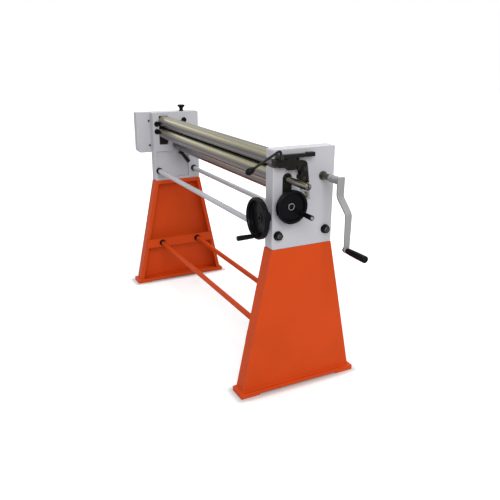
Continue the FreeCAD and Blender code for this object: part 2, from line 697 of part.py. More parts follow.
def upper_roll():
    """Swing-out roll, slotted at its left end for the gear's dog."""
    tip = HOUSING_X + S.housing_width - S.journal_end_gap
    face = S.dog_depth / 2 - 1 - MIDDLE
    steps = [(face, -HALF_FACE, S.upper_journal_radius), (-HALF_FACE, HALF_FACE, S.roll_radius),
             (HALF_FACE, tip, S.upper_journal_radius)]
    blank = lathe("upper_roll_blank", ROUND_X, stepped(steps), 0, S.pinch_y, S.upper_z)
    half = S.dog_thick / 2 + S.dog_play
    slot = box("dog_slot", (face - 1, face + S.dog_depth),
               (S.pinch_y - half, S.pinch_y + half),
               (S.upper_z - S.roll_radius, S.upper_z + S.roll_radius))
    node(cut("upper_roll", blank, [slot]), "upper_roll")


def upper_pivot_box():
    """Fixed block with an upright bore in which the left bearing swivels."""
    half = S.left_slot_width / 2
    block = box("pivot_block", (-OUTER, -INNER), (S.pinch_y - half, S.pinch_y + half),
                (S.pivot_box_low, S.left_slot_high))
    bore = rod("pivot_bore", ALONG_Z, S.pivot_box_low + S.pivot_floor, S.left_slot_high + 1,
               S.swivel_radius + S.running_fit, -MIDDLE, S.pinch_y)
    window = box("pivot_window", through((-OUTER, -INNER)),
                 (S.pinch_y - S.swivel_window / 2, S.pinch_y + S.swivel_window / 2),
                 (S.upper_z - S.swivel_window_height / 2,
                  S.upper_z + S.swivel_window_height / 2))
    node(cut("upper_pivot_box", block, [bore, window]), "upper_pivot_box")


def upper_swivel():
    """Upright bearing that carries the roll's left journal and turns as the roll swings."""
    barrel = rod("swivel_barrel", ALONG_Z, S.pivot_box_low + S.pivot_floor + S.contact_gap,
                 S.left_slot_high - S.free_gap, S.swivel_radius, -MIDDLE, S.pinch_y)
    bore = rod("swivel_bore", ALONG_X, -OUTER, -INNER,
               S.upper_journal_radius + S.running_fit, 0, S.pinch_y, S.upper_z)
    node(cut("upper_swivel", barrel, [bore]), "upper_swivel")


def upper_housing():
    """End housing on the right journal, with a flat top for the clamp and a lifting tongue."""
    span = (HOUSING_X, HOUSING_X + S.housing_width)
    boss = rod("housing_boss", ALONG_X, *span, S.housing_radius, 0, S.pinch_y, S.upper_z)
    foot = box("housing_foot", span, (S.pinch_y - S.housing_radius / 2,
                                      S.pinch_y + S.housing_radius / 2),
               (S.upper_z - S.housing_radius, S.upper_z))
    tongue = prism("housing_tongue", ALONG_X, *span, points=[
        (-S.tongue_front, S.upper_z + S.tongue_top), (-S.tongue_front, S.upper_z),
        (S.tongue_nose - S.tongue_front, S.tongue_low), (S.pinch_y, S.tongue_low),
        (S.pinch_y, S.upper_z + S.tongue_top)])
    flat = box("housing_flat", through(span), (S.pinch_y - 2 * S.housing_radius,
                                               S.pinch_y + 2 * S.housing_radius),
               (S.upper_z + S.housing_top, S.upper_z + 2 * S.housing_radius))
    bore = rod("housing_bore", ALONG_X, HOUSING_X - 1,
               HOUSING_X + S.housing_width - S.journal_end_gap + S.free_gap,
               S.upper_journal_radius + S.running_fit, 0, S.pinch_y, S.upper_z)
    shell = fuse("housing_shell", [boss, foot, tongue])
    node(cut("upper_housing", shell, [flat, bore]), "upper_housing")


# ---------------------------------------------------------------- lower roll and cam


def lower_roll():
    """Lower pinch roll with a long right shaft and a left shaft end for its gear."""
    tip = OUTER + S.shaft_end_reach
    block = OUTER - S.block_inset
    gear_end = -(GEAR_X + S.gear_width + 2)
    steps = [(gear_end, -block, S.gear_shaft_radius), (-block, -HALF_FACE, S.journal_radius),
             (-HALF_FACE, HALF_FACE, S.roll_radius), (HALF_FACE, block, S.journal_radius),
             (block, tip, S.shaft_end_radius)]
    blank = lathe("lower_roll_blank", ROUND_X, stepped(steps), 0, S.pinch_y, LOWER_Z)
    center = rod("center_hole", ALONG_X, tip - 3 * S.center_hole_radius, tip + 1,
                 S.center_hole_radius, 0, S.pinch_y, LOWER_Z)
    node(cut("lower_roll", blank, [center]), "lower_roll")


def right_lower_block():
    """Tall bearing block in the right head's slot, standing on the cam."""
    half = S.slot_width / 2 - S.slide_fit
    span = (INNER + S.block_inset, OUTER - S.block_inset)
    dome = rod("block_dome", ALONG_X, *span, half, 0, S.pinch_y,
               S.slot_top_center - S.free_gap)
    stem = box("block_stem", span, (S.pinch_y - half, S.pinch_y + half),
               (S.cam_z + S.cam_high + S.contact_gap, S.slot_top_center - S.free_gap))
    bore = rod("block_bore", ALONG_X, *through(span), S.journal_radius + S.running_fit,
               0, S.pinch_y, LOWER_Z)
    node(cut("right_lower_block", fuse("block_blank", [dome, stem]), [bore]),
         "right_lower_block")


def left_lower_block():
    """Bearing block of the lower roll in the left head's opening."""
    half = S.left_slot_width / 2 - S.slide_fit
    span = (-(OUTER - S.block_inset), -(INNER + S.block_inset))
    block = box("left_block_blank", span, (S.pinch_y - half, S.pinch_y + half),
                (S.left_lower_block_low, S.left_lower_block_high))
    bore = rod("left_block_bore", ALONG_X, *through(span), S.journal_radius + S.running_fit,
               0, S.pinch_y, LOWER_Z)
    node(cut("left_lower_block", block, [bore]), "left_lower_block")


def cam_outline():
    """Points of the cam: its height over the shaft falls evenly as it turns."""
    turn = math.radians(S.cam_turn.number)
    fall = -S.cam_lift.number / turn
    points = []
    for step in range(31):
        angle = turn * step / 30
        height = S.cam_high.number + fall * angle
        points.append(FreeCAD.Vector(0, height * math.sin(angle) + fall * math.cos(angle),
                                     height * math.cos(angle) - fall * math.sin(angle)))
    return points


def cam_shaft():
    """Handwheel shaft with the cam that carries the lower roll's block."""
    cam = DOCUMENT.addObject("Part::Feature", "cam")
    outline = Part.Face(Part.makePolygon(cam_outline() + cam_outline()[:1]))
    cam.Shape = outline.extrude(FreeCAD.Vector(S.cam_width.number, 0, 0))
    place(cam, ALONG_Z, MIDDLE - S.cam_width / 2, S.pinch_y, S.cam_z)
    bar = rod("cam_bar", ALONG_X, INNER - S.cam_plate,
              OUTER + S.outer_wheel_face - S.outer_hub_drop - S.hub_recess,
              S.cam_shaft_radius, 0, S.pinch_y, S.cam_z)
    node(fuse("cam_shaft", [cam, bar]), "cam_shaft")


def cam_plates():
    """Plates on both faces of the right head that carry the cam shaft."""
    plates = []
    half = S.cam_plate_side / 2
    for key, low, high in (("inner", INNER - S.cam_plate, INNER),
                           ("outer", OUTER, OUTER + S.cam_plate)):
        outline = rectangle(S.pinch_y - half, S.pinch_y + half, S.cam_z - half, S.cam_z + half)
        plates.append(prism("cam_plate_" + key, ALONG_X, low, high, points=outline,
                            circles=[(S.pinch_y, S.cam_z,
                                      S.cam_shaft_radius + S.running_fit)]))
    node(group("cam_plates", plates), "cam_plates")


# ---------------------------------------------------------------- rear roll, wedge and screw


def wedge_lift(travel):
    """How far the rear roll rises along its guide for a travel of the wedge."""
    return travel * sine(S.wedge_angle) / cosine(S.wedge_angle + S.rear_lean)


def slope_height(y, gap=0.0):
    """Height of the wedge's slope at one place, the roll being at its lowest."""
    along, up = leaning(-S.wedge_drop, 0.0)
    run = (along - y) * sine(S.wedge_angle) / cosine(S.wedge_angle)
    return up + run - gap / cosine(S.wedge_angle)


def foot_along(across):
    """Distance down the guide at which the rear block's sloped foot ends."""
    lean = S.wedge_angle + S.rear_lean
    return -S.wedge_drop - across * sine(lean) / cosine(lean)


def wedge_front():
    """Front end of the wedge: the slope reaches under the foot at full travel."""
    y = leaning(foot_along(-S.wedge_foot_half), -S.wedge_foot_half)[0]
    return y - S.wedge_travel - wedge_lift(S.wedge_travel) * sine(S.rear_lean) - S.wedge_margin


def wedge_rear():
    """Rear end of the wedge."""
    return leaning(foot_along(S.wedge_foot_half), S.wedge_foot_half)[0] + S.wedge_margin


def pocket_front():
    """Front wall of the wedge pocket."""
    return wedge_front() - S.wedge_margin


def pocket_outline():
    """Outline of the wedge pocket in the right head."""
    rear = wedge_rear() + S.wedge_travel + S.wedge_margin
    low = S.wedge_low - S.contact_gap
    top = slope_height(wedge_front()) + S.wedge_margin
    step = S.rear_z - S.rear_block_low
    return [(pocket_front(), low), (rear, low), (rear, step), (S.rear_y, step),
            (S.rear_y, top), (pocket_front(), top)]


def wedge_span():
    """Where the wedge lies across the head's thickness."""
    far = INNER + S.pocket_depth - S.slide_fit
    return far - S.wedge_thick, far


def wedge():
    """Wedge under the rear roll's right block, drawn along by the screw."""
    front, rear = wedge_front(), wedge_rear()
    blank = prism("wedge_blank", ALONG_X, *wedge_span(),
                  points=[(front, S.wedge_low), (rear, S.wedge_low),
                          (rear, slope_height(rear, S.contact_gap)),
                          (front, slope_height(front, S.contact_gap))])
    hole = rod("wedge_thread", ALONG_Y, front - 1, rear + 1, S.screw_radius + S.running_fit,
               MIDDLE, 0, S.screw_z)
    node(cut("wedge", blank, [hole]), "wedge")


def front_screw():
    """Adjusting screw: shoulder held in the head, thread in the wedge, end in the wheel."""
    face = -HALF_DEPTH
    hub = face - S.screw_flange - S.free_gap
    steps = [(face - S.front_wheel_face + S.front_hub_drop + S.hub_recess, hub,
              S.screw_end_radius),
             (hub, face + S.contact_gap, S.screw_radius),
             (face + S.contact_gap, face + S.screw_shoulder_length - S.contact_gap,
              S.screw_shoulder_radius),
             (face + S.screw_shoulder_length - S.contact_gap, wedge_rear() - S.wedge_margin,
              S.screw_radius)]
    node(lathe("front_screw", ROUND_Y, stepped(steps), MIDDLE, 0, S.screw_z), "front_screw")


def screw_cap():
    """Cap on the head's front face that keeps the screw's shoulder in its seat."""
    node(prism("screw_cap", ALONG_Y, -HALF_DEPTH - S.screw_flange, -HALF_DEPTH,
               circles=[(MIDDLE, S.screw_z, S.screw_flange_radius),
                        (MIDDLE, S.screw_z, S.screw_radius + S.running_fit)]), "screw_cap")


def pocket_cover():
    """Plate that closes the wedge pocket on the right head's inner face."""
    rear = wedge_rear() + S.wedge_travel + S.cover_lap
    front = S.pinch_y + S.cam_plate_side / 2 + S.free_gap
    outline = rectangle(front, rear, S.wedge_low - S.cover_lap,
                        S.rear_z - S.rear_block_low - S.cover_drop)
    node(prism("pocket_cover", ALONG_X, INNER - S.pocket_cover, INNER, points=outline),
         "pocket_cover")


def rear_block_tools(side, span):
    """Bore of a rear block."""
    return [rod(side_name(side, "rear_bore"), ALONG_X, *through(span),
                S.rear_journal_radius + S.running_fit, 0, S.rear_y, S.rear_z)]


def right_rear_block():
    """Rear roll block with a sloped foot on the wedge."""
    span = (INNER + S.block_inset, OUTER)
    half = S.rear_slot_width / 2 - S.slide_fit
    block = prism("rear_block_blank", ALONG_X, *span,
                  points=leaning_rectangle(-S.rear_block_low, S.rear_block_high, half))
    reach = S.wedge_foot_half
    foot = prism("rear_block_foot", ALONG_X, *wedge_span(),
                 points=[leaning(foot_along(-reach), -reach), leaning(foot_along(reach), reach),
                         leaning(0.0, reach), leaning(0.0, -reach)])
    node(cut("right_rear_block", fuse("rear_block_shape", [block, foot]),
             rear_block_tools(1, span)), "right_rear_block")


def left_rear_block():
    """Rear roll block of the left head, with a flange over its guide."""
    span = (-(OUTER - S.block_inset), -INNER)
    half = S.rear_slot_width / 2 - S.slide_fit
    block = prism("left_rear_blank", ALONG_X, *span,
                  points=leaning_rectangle(-S.rear_block_low, S.rear_block_high, half))
    high = S.rear_block_high + wedge_lift(S.wedge_travel)
    flange = prism("left_rear_flange", ALONG_X, S.contact_gap - INNER,
                   S.contact_gap + S.rear_flange - INNER,
                   points=leaning_rectangle(-S.rear_block_low, high, S.rear_flange_half))
    neck = prism("left_rear_neck", ALONG_X, -(INNER + 1), 1 - INNER,
                 points=leaning_rectangle(-S.rear_block_low, S.rear_block_high, half))
    shape = fuse("left_rear_shape", [block, neck, flange])
    node(cut("left_rear_block", shape,
             rear_block_tools(-1, (-OUTER, S.rear_flange - INNER))), "left_rear_block")


def rear_roll():
    """Rear forming roll."""
    block = OUTER - S.block_inset
    steps = [(-block, -HALF_FACE, S.rear_journal_radius), (-HALF_FACE, HALF_FACE, S.roll_radius),
             (HALF_FACE, OUTER + S.rear_pin_proud, S.rear_journal_radius)]
    node(lathe("rear_roll", ROUND_X, stepped(steps), 0, S.rear_y, S.rear_z), "rear_roll")


# ---------------------------------------------------------------- handwheels


def wheel_outline(base, way, face, radius, hub_drop, gap, bore):
    """Section of a handwheel with a deep flat pan, from a wall outward in one direction."""
    rim_back, rim_in = face - S.rim_width, radius - S.rim_thick
    hub_face = face - hub_drop
    web_front = hub_face - S.hub_rise
    web_back = web_front - S.web_thick
    section = [(gap, bore), (gap, S.hub_radius), (web_back, S.hub_radius),
               (web_back, rim_in - 6), (rim_back, rim_in + 2), (rim_back, radius),
               (face, radius), (face, rim_in), (web_front, rim_in), (web_front, S.hub_radius),
               (hub_face, S.hub_radius), (hub_face, bore)]
    return [(base + way * d, r) for d, r in section]


def rim_edges(radius):
    """Test that picks the round edges of a wheel's rim and of its pan."""
    wanted = (radius.number, (radius - S.rim_thick).number)
    return lambda edge: any(abs(getattr(edge.Curve, "Radius", 0.0) - r) < 0.01 for r in wanted)


def grip_spot(center_u, center_v, radius, angle):
    """Where a handwheel's grip stands."""
    reach = radius - S.grip_inset
    return center_u + reach * cosine(angle), center_v + reach * sine(angle)


def wheel_grip(name, turn, base, way, length, u, v):
    """Grip sleeve on a shouldered bolt; the sleeve swells outward and turns freely."""
    start = base + way * S.free_gap
    end = base + way * length
    inner = end - way * S.grip_head_depth
    place_at = (0, u, v) if turn is ROUND_X else (u, 0, v)
    bore = S.grip_bolt_radius + S.running_fit
    sleeve = [(start, bore), (start, S.wheel_grip_root), (end - way * 10,
              S.wheel_grip_radius), (end - way * 2, S.wheel_grip_radius),
              (end, S.wheel_grip_radius - 1.5), (end, S.grip_head_radius + S.free_gap),
              (inner, S.grip_head_radius + S.free_gap), (inner, bore)]
    node(lathe(name + "_grip", turn, sleeve, *place_at), name + "_grip")
    bolt = stepped([(base - way * S.grip_bolt_seat, inner + way * S.contact_gap,
                     S.grip_bolt_radius), (inner + way * S.contact_gap, end,
                     S.grip_head_radius)])
    node(lathe(name + "_grip_bolt", turn, bolt, *place_at), name + "_grip_bolt")


def handwheel(name, turn, wheel, radius, spot, boss, holes):
    """Wheel with a rounded rim and a boss for its grip."""
    center = (0, *spot) if turn is ROUND_X else (spot[0], 0, spot[1])
    disc = lathe(name + "_disc", turn, wheel, *center)
    round_edges(disc, S.rim_round, rim_edges(radius))
    node(cut(name, fuse(name + "_blank", [disc, boss]), holes), name)


def outer_handwheel():
    """Wheel on the cam shaft, with its grip."""
    face = OUTER + S.outer_wheel_face
    wheel = wheel_outline(OUTER, 1, S.outer_wheel_face, S.outer_wheel_radius, S.outer_hub_drop,
                          S.cam_plate + S.free_gap, S.cam_shaft_radius + S.running_fit)
    u, v = grip_spot(S.pinch_y, S.cam_z, S.outer_wheel_radius, S.outer_grip_angle)
    boss = rod("outer_grip_boss", ALONG_X, face - S.outer_hub_drop - S.hub_rise - 2, face,
               S.wheel_grip_radius, 0, u, v)
    hole = rod("outer_grip_hole", ALONG_X, face - S.grip_bolt_seat, face + 1,
               S.grip_bolt_radius + S.running_fit, 0, u, v)
    handwheel("outer_handwheel", ROUND_X, wheel, S.outer_wheel_radius, (S.pinch_y, S.cam_z),
              boss, [hole])
    wheel_grip("outer", ROUND_X, face, 1, S.outer_grip_length, u, v)


def front_handwheel():
    """Wheel on the adjusting screw, square at its hub, with its grip."""
    face = -HALF_DEPTH - S.front_wheel_face
    wheel = wheel_outline(-HALF_DEPTH, -1, S.front_wheel_face, S.front_wheel_radius,
                          S.front_hub_drop, S.screw_flange + S.free_gap,
                          S.screw_end_radius + S.running_fit)
    u, v = grip_spot(MIDDLE, S.screw_z, S.front_wheel_radius, S.front_grip_angle)
    hub_face = face + S.front_hub_drop
    boss = rod("front_grip_boss", ALONG_Y, face, hub_face + S.hub_rise + 2,
               S.wheel_grip_radius, u, 0, v)
    hole = rod("front_grip_hole", ALONG_Y, face - 1, face + S.grip_bolt_seat,
               S.grip_bolt_radius + S.running_fit, u, 0, v)
    half = S.hub_square / 2
    square = box("front_hub_square", (MIDDLE - half, MIDDLE + half),
                 (hub_face - 1, hub_face + S.hub_recess), (S.screw_z - half, S.screw_z + half))
    handwheel("front_handwheel", ROUND_Y, wheel, S.front_wheel_radius, (MIDDLE, S.screw_z),
              boss, [hole, square])
    wheel_grip("front", ROUND_Y, face, -1, S.front_grip_length, u, v)


# ---------------------------------------------------------------- gears


def gear_module():
    """Tooth size: the roll gears mesh at the distance between the two rolls."""
    return (S.upper_z - LOWER_Z) / S.roll_teeth


def idler_center():
    """Centre of the idler, above the line from the upper roll to the crank."""
    to_crank = gear_module() * (S.pinion_teeth + S.idler_teeth) / 2
    to_roll = gear_module() * (S.roll_teeth + S.idler_teeth) / 2
    run, rise = S.crank_y - S.pinch_y, S.crank_z - S.upper_z
    apart = root(run * run + rise * rise)
    along = (to_roll * to_roll - to_crank * to_crank + apart * apart) / (2 * apart)
    above = root(to_roll * to_roll - along * along)
    return (S.pinch_y + (run * along - rise * above) / apart,
            S.upper_z + (rise * along + run * above) / apart)


def mesh_angle(angle, direction, teeth, next_teeth):
    """Angle of a tooth of the next gear, which meshes in one direction from the first."""
    half_pitch = math.pi / teeth
    shift = (half_pitch - (angle - direction)) * teeth / next_teeth
    return direction + math.pi + shift


def gear_angles():
    """Angle of one tooth of each gear, so that the teeth stand in each other's gaps."""
    teeth, idler = S.roll_teeth.number, S.idler_teeth.number
    y, z = (value.number for value in idler_center())
    to_idler = math.atan2(z - S.upper_z.number, y - S.pinch_y.number)
    to_pinion = math.atan2(S.crank_z.number - z, S.crank_y.number - y)
    upper = -math.pi / 2
    idler_angle = mesh_angle(upper, to_idler, teeth, idler)
    return {"upper": upper, "lower": mesh_angle(upper, -math.pi / 2, teeth, teeth),
            "idler": idler_angle,
            "pinion": mesh_angle(idler_angle, to_pinion, idler, S.pinion_teeth.number)}


def involute(pressure):
    """Involute function of an angle."""
    return math.tan(pressure) - pressure


def tooth_points(teeth, module):
    """Radius and half angle of points up one flank of a spur gear tooth."""
    pitch = teeth * module / 2
    pressure = math.radians(S.pressure_angle.number)
    base, tip, foot = pitch * math.cos(pressure), pitch + module, pitch - 1.25 * module
    half = (math.pi * module - S.tooth_backlash.number) / (4 * pitch) + involute(pressure)
    points = [(foot, half)]
    for step in range(3):
        radius = base + (tip - base) * step / 2
        points.append((radius, half - involute(math.acos(min(1.0, base / radius)))))
    return points


def gear_blank(name, teeth, angle, y, z):
    """Toothed disc of a spur gear."""
    flank = tooth_points(teeth.number, gear_module().number)
    corners = []
    for tooth in range(int(round(teeth.number))):
        middle = angle + 2 * math.pi * tooth / teeth.number
        sides = [(radius, middle - half) for radius, half in flank]
        sides += [(radius, middle + half) for radius, half in reversed(flank)]
        corners += [FreeCAD.Vector(0, radius * math.cos(turn), radius * math.sin(turn))
                    for radius, turn in sides]
    gear = DOCUMENT.addObject("Part::Feature", name)
    outline = Part.Face(Part.makePolygon(corners + corners[:1]))
    gear.Shape = outline.extrude(FreeCAD.Vector(S.gear_width.number, 0, 0))
    return place(gear, ALONG_Z, -(GEAR_X + S.gear_width), y, z)


def upper_roll_gear():
    """Upper roll's gear on its own short shaft, with a dog that drives the roll."""
    blank = gear_blank("upper_gear_teeth", S.roll_teeth, gear_angles()["upper"], S.pinch_y,
                       S.upper_z)
    end = -(MIDDLE + S.dog_depth / 2 + S.dog_play)
    shaft = rod("upper_gear_shaft", ALONG_X, -(GEAR_X + S.gear_width + 2), end,
                S.gear_shaft_radius, 0, S.pinch_y, S.upper_z)
    half, reach = S.dog_thick / 2, S.gear_shaft_radius * 0.85
    dog = box("dog", (end - 1, S.dog_depth / 2 - MIDDLE),
              (S.pinch_y - half, S.pinch_y + half), (S.upper_z - reach, S.upper_z + reach))
    node(fuse("upper_roll_gear", [blank, shaft, dog]), "upper_roll_gear")


def bored_gear(name, teeth, angle, y, z, radius):
    """Gear on a shaft or stud."""
    blank = gear_blank(name + "_teeth", teeth, angle, y, z)
    bore = rod(name + "_bore", ALONG_X, -(GEAR_X + S.gear_width + 1), 1 - GEAR_X,
               radius + S.running_fit, 0, y, z)
    node(cut(name, blank, [bore]), name)


def plain_gears():
    """Lower roll gear, idler and crank pinion."""
    angles = gear_angles()
    y, z = idler_center()
    bored_gear("lower_roll_gear", S.roll_teeth, angles["lower"], S.pinch_y, LOWER_Z,
               S.gear_shaft_radius)
    bored_gear("idler_gear", S.idler_teeth, angles["idler"], y, z, S.stud_radius)
    bored_gear("crank_pinion", S.pinion_teeth, angles["pinion"], S.crank_y, S.crank_z,
               S.drive_shaft_radius)


def idler_stud():
    """Stud in the left head on which the idler turns, with an end flange."""
    y, z = idler_center()
    near = GEAR_X + S.gear_width + S.free_gap
    steps = [(-(near + 3), -near, S.stud_radius + 5), (-near, -(OUTER - S.stud_grip),
             S.stud_radius)]
    node(lathe("idler_stud", ROUND_X, stepped(steps), 0, y, z), "idler_stud")


def case_outline(offset):
    """Outline of the gear case, drawn in by an offset."""
    top = S.head_top - S.case_top_drop - offset
    return rectangle(offset - S.case_front, S.case_rear - offset, S.case_low + offset, top)


def lower_front_corner(edge):
    """Tell whether an edge is the case's lower front one, in the body's own axes."""
    spot = edge.Vertexes[0].Point
    return along_extrusion(edge) and spot.x < S.pinch_y.number and spot.y < LOWER_Z.number


def gear_plate():
    """Back plate of the gear case, bored for the shafts that pass it."""
    plate = prism("plate_blank", ALONG_X, -PLATE_X, -OUTER, points=case_outline(0.0))
    round_edges(plate, S.case_corner, lower_front_corner)
    span = through((-PLATE_X, -OUTER))
    y, z = idler_center()
    spots = [("Upper", S.gear_shaft_radius, S.pinch_y, S.upper_z),
             ("Idler", S.stud_radius, y, z), ("Crank", S.drive_shaft_radius, S.crank_y,
                                              S.crank_z)]
    tools = [rod("plate_hole" + key, ALONG_X, *span, radius + S.running_fit, 0, at_y, at_z)
             for key, radius, at_y, at_z in spots]
    for key, at_z in case_screw_spots():
        tools.append(rod("plate_hole" + key, ALONG_X, *span,
                         S.case_screw_radius + S.running_fit, 0, CASE_SCREW_Y, at_z))
    reach = S.gear_shaft_radius + 2
    tools.append(box("plate_slot", span, (S.pinch_y - reach, S.pinch_y + reach),
                     (LOWER_Z - S.cam_lift - reach, LOWER_Z + reach)))
    node(cut("gear_plate", plate, tools), "gear_plate")


def case_screw_spots():
    """Heights of the screws that hold the gear case."""
    return [("ScrewA", S.upper_z), ("ScrewB", S.case_low + 40)]


def gear_case():
    """Sheet case over the gears, with two posts for its screws."""
    far = OUTER + S.case_depth
    shell = prism("case_shell", ALONG_X, -far, -PLATE_X, points=case_outline(0.0))
    round_edges(shell, S.case_corner, lower_front_corner)
    hollow = prism("case_hollow", ALONG_X, S.case_sheet - far, 1 - PLATE_X,
                   points=case_outline(S.case_sheet))
    round_edges(hollow, S.case_corner - S.case_sheet, lower_front_corner)
    posts, holes = [], []
    for key, z in case_screw_spots():
        posts.append(rod("post" + key, ALONG_X, 1 - far, -PLATE_X, 2 * S.case_screw_radius,
                         0, CASE_SCREW_Y, z))
        holes.append(rod("post_hole" + key, ALONG_X, -(PLATE_X + S.case_screw_grip), 1 - PLATE_X,
                         S.case_screw_radius + S.running_fit, 0, CASE_SCREW_Y, z))
    shape = fuse("case_shape", [cut("case_open", shell, [hollow])] + posts)
    node(cut("gear_case", shape, holes), "gear_case")


def case_screws():
    """Screws through the back plate into the case's posts."""
    screws = []
    for key, z in case_screw_spots():
        steps = [(-(PLATE_X + S.case_screw_grip - 1), -OUTER, S.case_screw_radius),
                 (-OUTER, 3 - OUTER, S.case_screw_head)]
        screws.append(lathe("case_" + key, ROUND_X, stepped(steps), 0, CASE_SCREW_Y, z))
    node(group("case_screws", screws), "case_screws")


# ---------------------------------------------------------------- crank


def drive_shaft():
    """Shaft behind the rolls, from the crank's hub to the pinion."""
    node(rod("drive_shaft", ALONG_X, -(GEAR_X + S.gear_width + 2), OUTER + S.arm_reach,
             S.drive_shaft_radius, 0, S.crank_y, S.crank_z), "drive_shaft")


def crank_bushes():
    """Flanged bushes of the drive shaft, one in each head."""
    bushes = []
    for side in (1, -1):
        flange = OUTER if side > 0 else INNER - S.bush_flange
        name = side_name(side, "bush")
        sleeve = rod(name + "_sleeve", ALONG_X, *side_span(side, INNER, OUTER), S.bush_radius,
                     0, S.crank_y, S.crank_z)
        collar = rod(name + "_collar", ALONG_X,
                     *side_span(side, flange, flange + S.bush_flange), S.bush_flange_radius,
                     0, S.crank_y, S.crank_z)
        bore = rod(name + "_bore", ALONG_X,
                   *through(side_span(side, INNER - S.bush_flange, OUTER + S.bush_flange)),
                   S.drive_shaft_radius + S.running_fit, 0, S.crank_y, S.crank_z)
        bushes.append(cut(name, fuse(name + "_blank", [sleeve, collar]), [bore]))
    node(group("crank_bushes", bushes), "crank_bushes")


def crank_arm():
    """Tapered flat arm with two bends, and the hub that takes the drive shaft."""
    near = OUTER + S.arm_reach
    far = near + S.arm_offset
    top, foot = S.crank_z + S.arm_head, S.crank_z - S.crank_radius - S.arm_foot
    bend_top, bend_low = S.crank_z - S.bend_top_drop, S.crank_z - S.bend_low_drop
    drop = bend_top - bend_low
    miter = S.arm_thick * (root(drop * drop + S.arm_offset * S.arm_offset) - drop) / S.arm_offset
    strip = prism("arm_strip", ALONG_Y, S.crank_y - 30, S.crank_y + 30,
                  points=[(near, top), (near, bend_top), (far, bend_low), (far, foot),
                          (far + S.arm_thick, foot), (far + S.arm_thick, bend_low + miter),
                          (near + S.arm_thick, bend_top + miter), (near + S.arm_thick, top)])
    low_z = S.crank_z - S.crank_radius
    cone = [(S.crank_y - S.arm_foot_half, low_z), (S.crank_y + S.arm_foot_half, low_z),
            (S.crank_y + S.arm_top_half, S.crank_z), (S.crank_y - S.arm_top_half, S.crank_z)]
    span = (near - 1, far + S.arm_thick + 1)
    front = fuse("arm_front", [
        prism("arm_taper", ALONG_X, *span, points=cone),
        rod("arm_top_round", ALONG_X, *span, S.arm_top_half, 0, S.crank_y, S.crank_z),
        rod("arm_foot_round", ALONG_X, *span, S.arm_foot_half, 0, S.crank_y, low_z)])
    bar = DOCUMENT.addObject("Part::Common", "arm_bar")
    bar.Base = strip
    bar.Tool = front
    hub = rod("arm_hub", ALONG_X, OUTER + S.crank_hub_start, near + 1, S.crank_hub_radius, 0,
              S.crank_y, S.crank_z)
    holes = [rod("arm_bore", ALONG_X, OUTER, far, S.drive_shaft_radius + S.running_fit, 0,
                 S.crank_y, S.crank_z),
             rod("arm_bolt_hole", ALONG_X, near, far + 20, S.crank_bolt_radius + S.running_fit, 0,
                 S.crank_y, low_z)]
    node(cut("crank_arm", fuse("arm_shape", [bar, hub]), holes), "crank_arm")


def crank_grip():
    """Tapered grip sleeve on its shouldered bolt, with a nut behind the arm."""
    wall = OUTER + S.arm_reach + S.arm_offset
    face = wall + S.arm_thick
    z = S.crank_z - S.crank_radius
    start, end = face + S.grip_collar, face + S.grip_collar + S.crank_grip_length
    inner = end - 2 * S.grip_head_depth
    bore = S.crank_bolt_radius + S.running_fit
    well = S.crank_bolt_radius + 3
    sleeve = [(start + S.free_gap, bore), (start + S.free_gap, S.crank_grip_radius - 2),
              (end - 3, S.crank_grip_radius), (end, S.crank_grip_radius - 1.5),
              (end, well + S.free_gap), (inner, well + S.free_gap), (inner, bore)]
    node(lathe("crank_grip", ROUND_X, sleeve, 0, S.crank_y, z), "crank_grip")
    steps = [(wall - S.crank_nut - 3, face, S.crank_bolt_radius),
             (face, start, S.crank_bolt_radius + 3),
             (start, inner + S.contact_gap, S.crank_bolt_radius),
             (inner + S.contact_gap, inner + 2 * S.grip_head_depth - 3, well)]
    bolt = lathe("crank_grip_shank", ROUND_X, stepped(steps), 0, S.crank_y, z)
    nut = prism("crank_grip_nut", ALONG_X, wall - S.crank_nut, wall,
                points=hexagon(S.crank_y, z, S.head_bolt_flats),
                circles=[(S.crank_y, z, bore)])
    node(group("crank_grip_bolt", [bolt, nut]), "crank_grip_bolt")


# ---------------------------------------------------------------- clamp


def bracket_spots():
    """Fasteners of the clamp bracket: the hinge pin and the lower screw."""
    return [("Pin", S.hinge_y, S.hinge_z, S.hinge_pin_radius),
            ("Screw", S.fork_y, S.fork_z, S.bracket_screw_radius)]


def rounded_link(name, span, radius, top, foot):
    """Plate with round ends that joins two points of a plane across the rolls."""
    ends = [rod(name + "_top", ALONG_X, *span, radius, 0, *top),
            rod(name + "_foot", ALONG_X, *span, radius, 0, *foot)]
    run, rise = top[0] - foot[0], top[1] - foot[1]
    length = root(run * run + rise * rise)
    over_y, over_z = radius * rise / length, -(radius * run / length)
    web = prism(name + "_web", ALONG_X, *span,
                points=[(foot[0] - over_y, foot[1] - over_z),
                        (foot[0] + over_y, foot[1] + over_z),
                        (top[0] + over_y, top[1] + over_z),
                        (top[0] - over_y, top[1] - over_z)])
    return ends + [web]


